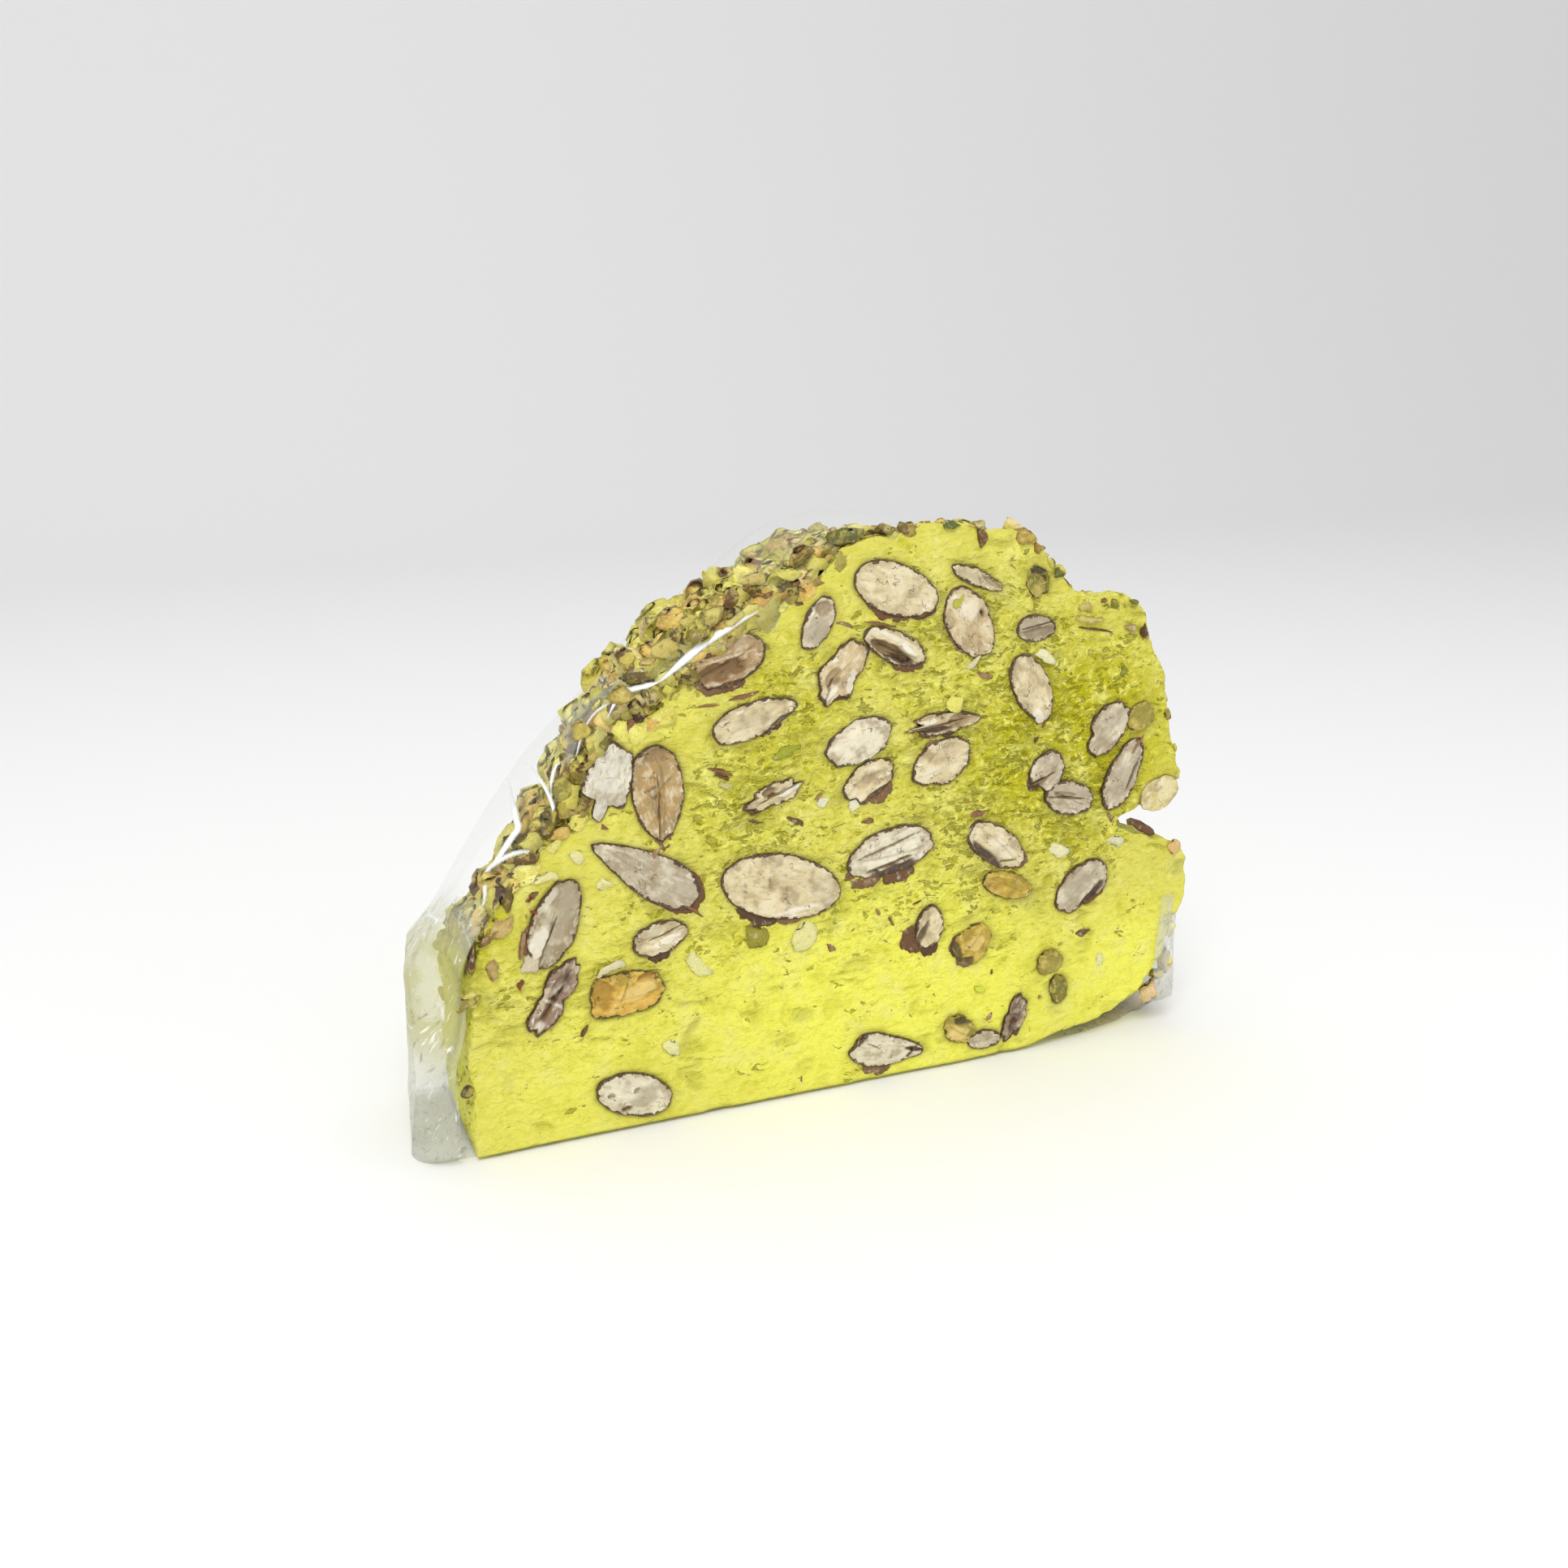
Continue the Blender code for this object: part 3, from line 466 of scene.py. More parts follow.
# Colours of the nougat; among them are a painted highlight on the crumb and painted shade in its low parts,
# in the tears, in the gaps between crust cells and round the nuts
nougatLook = {
    "plain": (218, 212, 94), "lemon": (239, 237, 94), "olive": (190, 184, 16), "pale": (232, 227, 134),
    "tearAndShade": (130, 126, 8), "nutShadow": (122, 104, 54), "gap": (78, 64, 24), "speck": (116, 100, 30),
    "tan": (212, 176, 80), "cream": (224, 202, 118), "moss": (148, 138, 48), "brown": (128, 90, 42),
    "crumb": (242, 239, 118), "crumbShade": (170, 164, 14),
    "roughness": 0.55,
}


# Colour: plain, turned to lemon or olive by the tone attribute, paler in noise patches; painted
# highlight and painted shade on the drawn waves and the crumb, by their height; painted shade in
# ragged tears and round the nuts; by the crust, chopped cells in its own colours with painted shade
# in the gaps. Height: crumb, drawn waves and cells, less the tears and gaps
def nougatFinish():
    s = Shader("nougat")
    look = {key: tint(*value) for key, value in nougatLook.items() if key != "roughness"}
    spot = s.place()
    tone = s.attribute("tone")
    rough = s.attribute("rough")
    colour = s.mix(look["plain"], look["lemon"], s.between(tone, 0.0, 1.0))
    colour = s.mix(colour, look["olive"], s.between(tone, 0.0, -1.0))
    patches = s.noise(spot, 8.0, 3.0, 0.6)
    colour = s.mix(colour, look["pale"], s.between(patches, 0.50, 0.72) * 0.60)
    colour = s.mix(colour, look["olive"], s.between(patches, 0.47, 0.30) * 0.35)
    loose = s.swirl(spot, 2.6, 2.4)
    drawn = s.noise(s.stretch(loose, (0.6, 0.8, 1.0)), 1.5, 4.0, 0.66)
    # painted highlight and painted shade: paler where the drawn waves stand high, olive where they sink
    colour = s.mix(colour, look["olive"], s.between(drawn, 0.48, 0.32) * (rough * 0.32 + 0.25))
    colour = s.mix(colour, look["pale"], s.between(drawn, 0.53, 0.68) * (rough * 0.35 + 0.28))
    ragged = s.noise(s.stretch(loose, (0.55, 0.9, 1.35)), 1.6, 2.6, 0.62)
    where = s.noise(spot, 5.5, 2.0, 0.6) * 0.60 + rough * 0.15 - 0.405
    torn = s.between(ragged + where, 0.605, 0.655)
    crumb = s.noise(s.stretch(loose, (0.7, 1.0, 1.1)), 1.05, 2.0, 0.6)
    crumbly = s.between(where + 0.06, -0.04, 0.14) * 0.45 + 0.12 + rough * 0.22
    # painted highlight on the crumb's raised points and painted shade in its low ones
    colour = s.mix(colour, look["crumb"], s.between(crumb, 0.54, 0.64) * crumbly)
    colour = s.mix(colour, look["crumbShade"], s.between(crumb, 0.46, 0.37) * crumbly)
    # painted shade in the ragged tears
    tearsAndShade = s.maths("MAXIMUM", torn, s.attribute("tearAndShade") * 0.55)
    colour = s.mix(colour, look["tearAndShade"], tearsAndShade * (s.between(patches, 0.3, 0.7) * 0.25 + 0.42))
    specks = s.between(s.noise(spot, 0.7, 0.0), 0.85, 0.90)
    colour = s.mix(colour, look["speck"], specks * 0.5)
    crust = s.attribute("crust")
    level, gap = s.cells(s.swirl(spot, 3.0, 3.4), 2.7)
    bits = s.mix(look["tan"], look["cream"], s.between(level, 0.26, 0.30))
    bits = s.mix(bits, look["pale"], s.between(level, 0.40, 0.44))
    bits = s.mix(bits, look["moss"], s.between(level, 0.60, 0.64))
    bits = s.mix(bits, look["brown"], s.between(level, 0.76, 0.80))
    bits = s.mix(bits, look["plain"], s.between(level, 0.84, 0.88))
    bits = s.mix(bits, look["cream"], s.between(s.noise(spot, 1.2, 3.0, 0.6), 0.50, 0.68) * 0.45)
    # painted shade in the gaps between the chopped cells
    crack = s.between(gap, 0.16, 0.03)
    bits = s.mix(bits, look["gap"], crack * 0.75)
    shown = s.between(crust + s.noise(spot, 2.4, 2.0, 0.6) * 0.9, 0.80, 0.98)
    colour = s.mix(colour, bits, shown * 0.90)
    # painted shade round the nuts
    colour = s.mix(colour, look["nutShadow"], s.attribute("nutShadow") * 0.58)
    grit = s.noise(spot, 0.4, 2.0)
    relief = drawn * 0.6 - ragged * (rough * 1.5 + 0.6) + crumb * (rough * 0.7 + 0.4) + grit * 0.16 - tearsAndShade
    relief = relief + shown * (s.between(gap, 0.0, 0.4) * 1.6 - 0.8)
    normal = s.bump(relief, 0.9, 0.75 * mm)
    shine = s.between(s.noise(spot, 5.0, 2.0), 0.3, 0.7) * 0.16 + (nougatLook["roughness"] - 0.08)
    return s.close(s.surface({"Base Color": colour, "Roughness": shine, "Normal": normal,
                              "Subsurface Weight": 0.1, "Subsurface Radius": (0.0018, 0.0016, 0.0006),
                              "Subsurface Scale": 1.0, "Specular IOR Level": 0.18}))


nutLook = {
    "almond": {
        "skin": (66, 48, 32), "skinLight": (122, 88, 54), "pit": (108, 82, 52),
        "light": (240, 230, 198), "shade": (158, 138, 104), "hollow": (140, 110, 70),
        "grey": (176, 165, 140), "white": (240, 234, 214),
    },
    "pistachio": {
        "skin": (66, 54, 32), "skinLight": (112, 98, 42), "pit": (66, 62, 22),
        "light": (230, 206, 112), "shade": (140, 124, 38), "hollow": (156, 118, 32),
        "grey": (170, 160, 80), "white": (236, 208, 130),
    },
}


# Flesh from the flesh attribute, with painted shade towards the rim, in soft lighter and darker
# parts with flaked strokes along the nut, painted shade in a few pits and cracks and in the cleft,
# the marks of the single nut, and the skin where the rim is near
def nutFinish(kind):
    s = Shader("cut_" + kind)
    look = {key: tint(*value) for key, value in nutLook[kind].items()}
    spot = s.attribute("spot", "Vector")
    edge = s.attribute("edge")
    colour = s.attribute("flesh", "Color")
    # painted shade towards the rim
    colour = s.mix(colour, look["shade"], s.between(edge, 1.7, 0.2) * 0.26)
    patches = s.noise(spot, 3.4, 2.0, 0.5)
    colour = s.mix(colour, look["light"], s.between(patches, 0.50, 0.66) * 0.42)
    colour = s.mix(colour, look["shade"], s.between(patches, 0.50, 0.34) * 0.62)
    strokes = s.noise(s.stretch(s.swirl(spot, 1.6, 0.9), (0.5, 1.0, 1.2)), 1.1, 4.0, 0.62)
    flaky = s.between(edge, 3.0, 0.7) * s.between(s.noise(spot, 3.0, 1.0), 0.54, 0.66)
    colour = s.mix(colour, look["white"], s.between(strokes, 0.53, 0.62) * (flaky * 0.5 + 0.30))
    colour = s.mix(colour, look["shade"], s.between(strokes, 0.46, 0.37) * 0.42)
    flecks = s.between(s.noise(spot, 0.5, 2.0, 0.6), 0.68, 0.76)
    colour = s.mix(colour, look["white"], flecks * 0.5)
    colour = s.mix(colour, look["hollow"], s.attribute("hollow") * 0.85)
    colour = s.mix(colour, look["grey"], s.attribute("grey") * 0.75)
    colour = s.mix(colour, look["white"], s.attribute("pale") * 0.80)
    crackNoise = s.noise(spot, 2.4, 2.0, 0.55)
    cracks = s.between(s.maths("ABSOLUTE", crackNoise - 0.5), 0.014, 0.003)
    cracks = cracks * s.between(s.noise(spot, 2.2, 0.0), 0.60, 0.70)
    pits = s.between(s.noise(spot, 0.8, 1.0), 0.76, 0.83)
    # painted shade in the cracks, pits, cleft and holes
    dark = s.maths("MAXIMUM", s.maths("MAXIMUM", cracks, pits * 0.6), s.attribute("cleft"), clamp=True)
    colour = s.mix(colour, look["pit"], dark * 0.70)
    width = s.between(s.noise(spot, 1.5, 3.0, 0.65), 0.38, 0.68) * 0.55 - 0.02
    rim = s.between(edge - width, 0.12, -0.08)
    outside = s.between(edge, 0.06, -0.04)
    skinTone = s.mix(look["skin"], look["skinLight"], s.between(s.noise(spot, 0.8, 2.0), 0.50, 0.72))
    skinned = s.maths("MAXIMUM", s.maths("MAXIMUM", rim, outside), s.attribute("skinned"), clamp=True)
    colour = s.mix(colour, skinTone, skinned * 0.95)
    relief = strokes * 0.8 + patches * 0.5 - dark * 0.9 - rim * 0.4
    normal = s.bump(relief, 0.8, 0.45 * mm)
    roughness = s.between(patches, 0.3, 0.7) * 0.18 + 0.34
    return s.close(s.surface({"Base Color": colour, "Roughness": roughness, "Normal": normal,
                              "Subsurface Weight": 0.12, "Subsurface Radius": (0.0014, 0.0011, 0.0008),
                              "Subsurface Scale": 1.0, "Specular IOR Level": 0.4}))


# Chopped pieces: the tint attribute varied by noise, with skin where the skinSide attribute is 1,
# smeared with nougat by the share paste, with painted shade in the low patches of the relief by
# the last share, and painted shade where the deep attribute says that they sink into the heap
def chopFinish(name, skin, roughness=0.55, paste=0.0, creviceShade=0.5):
    s = Shader(name)
    spot = s.place()
    colour = s.attribute("tint", "Color")
    patches = s.noise(spot, 1.4, 3.0, 0.6)
    colour = s.mix(colour, (0.90, 0.84, 0.62), s.between(patches, 0.54, 0.76) * 0.45)
    # painted shade in the low patches of the relief
    colour = s.mix(colour, tint(104, 86, 40), s.between(patches, 0.47, 0.28) * creviceShade)
    skinMask = s.between(s.attribute("skinSide") + s.noise(spot, 0.8, 1.0) * 0.3, 0.75, 0.92)
    colour = s.mix(colour, tint(*skin), skinMask * 0.85)
    if paste:
        smears = s.between(s.noise(s.swirl(spot, 2.0, 1.5), 2.2, 4.0, 0.65), 0.50, 0.60)
        colour = s.mix(colour, tint(228, 213, 104), smears * paste)
    # painted shade where the pieces sink into the heap or the face
    colour = s.mix(colour, tint(74, 54, 22), s.attribute("deep") * 0.52)
    grit = s.noise(spot, 0.6, 3.0, 0.65)
    normal = s.bump(grit + patches * 1.2, 0.9, 0.5 * mm)
    return s.close(s.surface({"Base Color": colour, "Roughness": roughness, "Normal": normal,
                              "Subsurface Weight": 0.1, "Subsurface Radius": (0.0016, 0.0014, 0.0006),
                              "Subsurface Scale": 1.0, "Specular IOR Level": 0.3}))


# The crease colours are a painted highlight and painted shade, and the wrinkles' dark colour is painted
# shade
filmLook = {
    "clear": (226, 229, 226), "creaseHighlight": (255, 255, 255), "dull": (126, 126, 108),
    "hazy": (200, 198, 126), "milky": (240, 232, 226), "shade": (128, 126, 104),
    "haziness": 0.54, "veil": 0.015, "edgeVeil": 0.14, "roughness": 0.2,
}


# Clear film: a pale gloss over a see-through sheet, denser at a glancing angle, in hazy parts and
# at creases; the crease attribute is above 0 where a crease has a painted highlight and below 0
# where it has painted shade, and the wrinkles have painted highlight streaks and painted shade.
# The hazy colour turns milky from X 0 to 40 mm
def filmFinish():
    s = Shader("film")
    look = {key: tint(*filmLook[key]) for key in ("clear", "creaseHighlight", "dull", "hazy", "milky", "shade")}
    spot = s.place()
    creaseAndLight = s.attribute("creaseAndLight")
    haze = s.attribute("haze")
    # painted highlight on creases above 0 and painted shade on those below
    creaseHighlight = s.between(creaseAndLight, 0.10, 0.80)
    dull = s.between(creaseAndLight, -0.10, -0.9)
    drawn = s.node("ShaderNodeMapping", {"vector_type": "TEXTURE"},
                   {"Vector": s.swirl(spot, 7.0, 4.0), "Rotation": (0, math.radians(-60), 0),
                    "Scale": (3.6, 2.4, 0.8)})
    wrinkle = s.noise(drawn, 1.1, 3.0, 0.6)
    parts = s.between(s.noise(spot, 7.0, 1.0), 0.40, 0.60)
    creased = s.between(haze, 0.0, 0.35)
    # painted highlight streaks along the wrinkles, and painted shade beside them
    wrinkleHighlights = s.between(wrinkle, 0.57, 0.68) * creased * parts
    dark = s.between(wrinkle, 0.42, 0.31) * creased
    across = s.node("ShaderNodeSeparateXYZ", None, {"Vector": spot}, output="X")
    hazy = s.mix(look["hazy"], look["milky"], s.between(across, 0, 40))
    colour = s.mix(look["clear"], hazy, haze)
    colour = s.mix(colour, look["dull"], dull)
    colour = s.mix(colour, look["shade"], dark * 0.6)
    colour = s.mix(colour, look["creaseHighlight"], s.maths("MAXIMUM", creaseHighlight, wrinkleHighlights * 0.8))
    facing = s.node("ShaderNodeLayerWeight", None, {"Blend": 0.5}, output="Facing")
    factor = facing ** 3.0 * filmLook["edgeVeil"] + filmLook["veil"]
    factor = factor + haze * (parts * 0.4 + 0.6) * filmLook["haziness"] + wrinkleHighlights * 0.45 + dark * 0.3
    factor = s.maths("MAXIMUM", factor, s.maths("MAXIMUM", creaseHighlight * 0.95, dull * 0.45), clamp=True)
    normal = s.bump(wrinkle + s.noise(spot, 6.0, 2.0), 0.35, 0.8 * mm)
    gloss = s.surface({"Base Color": colour, "Roughness": filmLook["roughness"], "Normal": normal,
                       "Specular IOR Level": 0.6})
    clear = s.node("ShaderNodeBsdfTransparent")
    return s.close(s.node("ShaderNodeMixShader", None, {0: factor, 1: clear, 2: gloss}))


# Matt, nearly white floor
def floorFinish():
    s = Shader("floor")
    return s.close(s.surface({"Base Color": (0.93, 0.93, 0.93, 1), "Roughness": 0.8,
                              "Specular IOR Level": 0.2}))


# The nougat

# The outline in four edges, each point with how far it has drawn in at the back face; deep is
# where the point lies once the crushed corner has filled out behind the face
nougatShape = {
    "across": 320, "upward": 192,
    "left": [(-78.5, 0.85, 3), (-79.0, 12, 3), (-79.2, 27, 3), (-78.0, 37.5, 5.5), (-76.2, 45.5, 11.5),
             (-71.8, 52.5, 14), (-65, 59, 12.0), (-58.8, 64, 7.6), (-57, 70, 9.0), (-54.3, 74.6, 10.6)],
    "top": [(-54.3, 74.6, 10.6), (-50.5, 79.4, 9.4), (-44.8, 82.9, 6.8), (-35.2, 87.9, 4.4),
            (-28.3, 92.7, 4.2), (-17.5, 99.3, 4.2), (-11, 103.9, 3.4), (-4, 108.3, 3.2),
            (6, 110.6, 3.8), (15, 111.2, 5.5), (26, 110.9, 6.0), (33.3, 109.9, 5.8), (38, 107.8, 5.4),
            (41, 104.4, 5), (44, 101.2, 4.6), (47, 97.8, 4.5), (51.5, 96.2, 4.5), (57, 95.8, 4.3),
            (61.5, 95.0, 4.2), (65.5, 92.0, 4)],
    "right": [(69.5, 10.2, 0.5), (74.2, 16.5, 0.5), (76.2, 22, 0.5), (79.2, 27, 0.6), (80, 33.3, 0.9),
              (76.5, 41, 2), (70, 44, 2.7), (65.5, 45.4, 3), (60.9, 47.6, 3), (65, 51.0, 3), (72.5, 51.2, 3),
              (75.6, 55, 3.2), (74.2, 63, 3.5), (72, 73, 3.5), (69.8, 81, 3.6), (66.5, 88, 3.8),
              (65.5, 92.0, 4)],
    "bottom": [(-78.5, 0.85, 3), (-40, 0.85, 1), (0, 0.85, 0.5), (36, 0.85, 0.5), (47, 2.8, 0.5),
               (60, 5, 0.5), (69.5, 10.2, 0.5)],
    "deepRight": [(77, 5), (78.5, 10), (79, 17), (79, 25), (79, 33), (76.5, 41)],
    "deepBottom": [(58, 0.85), (67, 0.85), (73.5, 2.2), (77, 5)],
    "lump": 1.1, "lumpSize": 6.5, "fineLump": 0.6, "fineLumpSize": 2.2,
}

# Where the cut face is lemon (above 0) or olive (below 0): x, height, radius, amount
faceTones = [(18, 12, 34, 1.0), (-22, 22, 26, 0.55), (-62, 8, 20, 0.5), (68, 14, 16, 0.9),
             (-60, 34, 14, 0.3), (56, 66, 20, -1.0), (40, 72, 16, -0.5), (30, 58, 14, -0.4),
             (-30, 60, 16, -0.35), (16, 84, 14, -0.1), (-14, 66, 12, -0.3), (0, 108, 12, -0.1),
             (50, 44, 14, -0.25), (-16, 83, 12, -0.45), (-71, 33, 10, -0.3), (-76, 45, 8, -0.9)]
# Where the knife tore it most
roughZones = [(24, 74, 26, 0.8), (52, 58, 20, 0.9), (-24, 60, 18, 0.8), (30, 44, 18, 0.6),
              (-40, 36, 16, 0.5), (0, 40, 14, 0.6), (20, 90, 14, 0.5), (62, 84, 12, 0.4),
              (-62, 22, 10, 0.3), (44, 90, 10, 0.4), (-16, 82, 12, 0.7), (-70, 32, 10, 0.6)]


# Edge curves at both ends of the corner's filling out, as rows of x, height and fall
def edgeCurves(step):
    across, upward = nougatShape["across"] // step, nougatShape["upward"] // step
    deepRight = [(*deep, point[2]) for deep, point in zip(nougatShape["deepRight"], nougatShape["right"])]
    deepRight += nougatShape["right"][len(deepRight):]
    keep = len(nougatShape["bottom"]) - len(nougatShape["deepBottom"])
    deepBottom = nougatShape["bottom"][:keep] + [(*deep, point[2]) for deep, point in
                                           zip(nougatShape["deepBottom"], nougatShape["bottom"][keep:])]
    left, top = smoothCurve(nougatShape["left"], upward), smoothCurve(nougatShape["top"], across)
    crushed = (smoothCurve(nougatShape["bottom"], across), smoothCurve(nougatShape["right"], upward))
    full = (smoothCurve(deepBottom, across), smoothCurve(deepRight, upward))
    return left, top, crushed, full


# The ring at depth y, clockwise from the lower left corner: left edge up, over the top, down the
# right and back along the underside; drawn in towards the back and roughened by noise
def nougatRing(y, step=1):
    left, top, crushed, full = edgeCurves(step)
    t = max((y - slab["front"]) / (slab["back"] - slab["front"]), 0)
    fill = smoothStep((y - slab["front"]) / slab["footLength"])
    bottom, right = [a + (b - a) * fill for a, b in zip(crushed, full)]
    rows = np.vstack([left[:-1], top[:-1], right[::-1][:-1], bottom[::-1][:-1]])
    ring = rows[:, :2]
    normal = outward(ring)
    ring = drawIn(ring, rows[:, 2] * t ** slab["fallPower"])
    spots = np.stack([ring[:, 0], np.full(len(ring), y), ring[:, 1]], axis=1)
    lumps = nougatShape["lump"] * noiseAt(spots, nougatShape["lumpSize"], 3)
    lumps += nougatShape["fineLump"] * layeredNoise(spots, nougatShape["fineLumpSize"], 2, 0.6, 5)
    lift = smoothStep(ring[:, 1], slab["underside"] + 0.2, slab["underside"] + 6)
    ring = ring + normal * (lumps * lift)[:, None]
    ring[:, 1] = np.maximum(ring[:, 1], slab["underside"])
    return ring


# A patch between four edges (Coons): the two straight blends summed, less the corners' blend
def patchBetween(ring, across, upward):
    closed = np.vstack([ring, ring[:1]])
    left, top = closed[:upward + 1], closed[upward:upward + across + 1]
    right = closed[upward + across:2 * upward + across + 1][::-1]
    bottom = closed[2 * upward + across:][::-1]
    u = np.linspace(0, 1, across + 1)[None, :, None]
    v = np.linspace(0, 1, upward + 1)[:, None, None]
    patch = (1 - v) * bottom[None] + v * top[None] + (1 - u) * left[:, None] + u * right[:, None]
    patch -= ((1 - u) * (1 - v) * bottom[0] + u * (1 - v) * bottom[-1]
              + (1 - u) * v * top[0] + u * v * top[-1])
    return patch


# The outline's swelling by angle: five cosines with the nut's own phases, less its bites
def rimSwell(name, cut, angle):
    phase = np.random.default_rng(nutSeed(name)).uniform(0, 2 * math.pi, 5)
    parts = [(2, 0.5), (3, 0.45), (5, 0.4), (8, 0.35), (13, 0.3)]
    waves = sum(share * np.cos(count * angle + phase[k]) for k, (count, share) in enumerate(parts))
    swell = 1 + cut[6] * waves
    for middle, width, share in nutBites.get(name, []):
        away = np.abs((angle - math.radians(middle) + math.pi) % (2 * math.pi) - math.pi)
        swell = swell - share * np.exp(-(away / math.radians(width)) ** 2)
    return swell


# How far points of a face lie outside a cut nut's outline, in millimetres; below 0 inside it
def nutDistance(x, z, name, cut):
    px, pz, length, width, angle, taper = cut[:6]
    c, s = math.cos(math.radians(angle)), math.sin(math.radians(angle))
    u = ((x - px) * c + (z - pz) * s) / (length / 2)
    v = ((z - pz) * c - (x - px) * s) / (width / 2 * (1 - taper * np.clip(u, -1, 1)))
    swell = rimSwell(name, cut, np.arctan2(v, u))
    rho = np.hypot(u, v) / swell
    steep = np.hypot(u / (length / 2), v / (width / 2)) / swell
    return (rho - 1) * rho / np.maximum(steep, 1e-6)


# A whole number for a name: its letters' codes, weighted by their places, summed
def nutSeed(name):
    return sum(ord(letter) * (k + 3) for k, letter in enumerate(name))


# The least of the distances to all the cut nuts of a face
def nearestNut(x, z, cuts):
    distance = np.full(x.shape, 50.0)
    for name, cut in cuts.items():
        distance = np.minimum(distance, nutDistance(x, z, name, cut))
    return distance


# A soft sum of round zones, each x, height, radius and amount
def zoneSum(x, z, zones):
    return sum(amount * np.exp(-((x - cx) ** 2 + (z - cz) ** 2) / (radius * radius))
               for cx, cz, radius, amount in zones)


# Height of a cut face out of its plane: slow waves, crumb, knife tears as lines where a
# stretched noise crosses 0, grooves round the nuts and pockets under them; lumps by the rim.
# Side is 0 for the front face and 1 for the back
def faceRelief(x, z, cuts, side, rim=0):
    spots = np.stack([x, np.full_like(x, side * 31.0), z], axis=-1)
    rough = np.clip(zoneSum(x, z, roughZones) if side == 0 else 0.4, 0, 1)
    distance = nearestNut(x, z, cuts)
    slanted = np.stack([x * 0.26, np.full_like(x, side * 31.0), z + x * 0.10], axis=-1)
    lines = 1 - smoothStep(np.abs(layeredNoise(slanted, 2.6, 2, 0.5, 21)), 0.03, 0.30)
    patches = smoothStep(noiseAt(spots, 6.0, 23) + rough * 0.75, 0.30, 0.75)
    tearAndShade = lines * patches * smoothStep(distance, 0.2, 0.9)
    crumb = layeredNoise(spots, 1.5, 2, 0.6, 31)
    height = 0.22 * noiseAt(spots, 11.0, 33) + (0.05 + 0.08 * rough) * crumb - 0.38 * tearAndShade
    height += rim * smoothStep(distance, 0.3, 2.0) * (1.5 * layeredNoise(spots, 3.4, 2, 0.6, 35) - 0.9 * rim)
    height -= 0.35 * np.exp(-(np.maximum(distance, 0) / 0.45) ** 2)
    height -= 1.7 * smoothStep(-distance, 0.15, 1.1)
    # painted shade round each nut, fading over about 0.75 mm from its rim
    nutShadow = np.exp(-np.maximum(distance, 0) / 0.75)
    return height, tearAndShade, nutShadow, rough


# A grid's outer points, clockwise from its lower left corner
def gridRim(ids):
    return np.concatenate([ids[:-1, 0], ids[-1, :-1], ids[::-1][:-1, -1], ids[0, ::-1][:-1]])


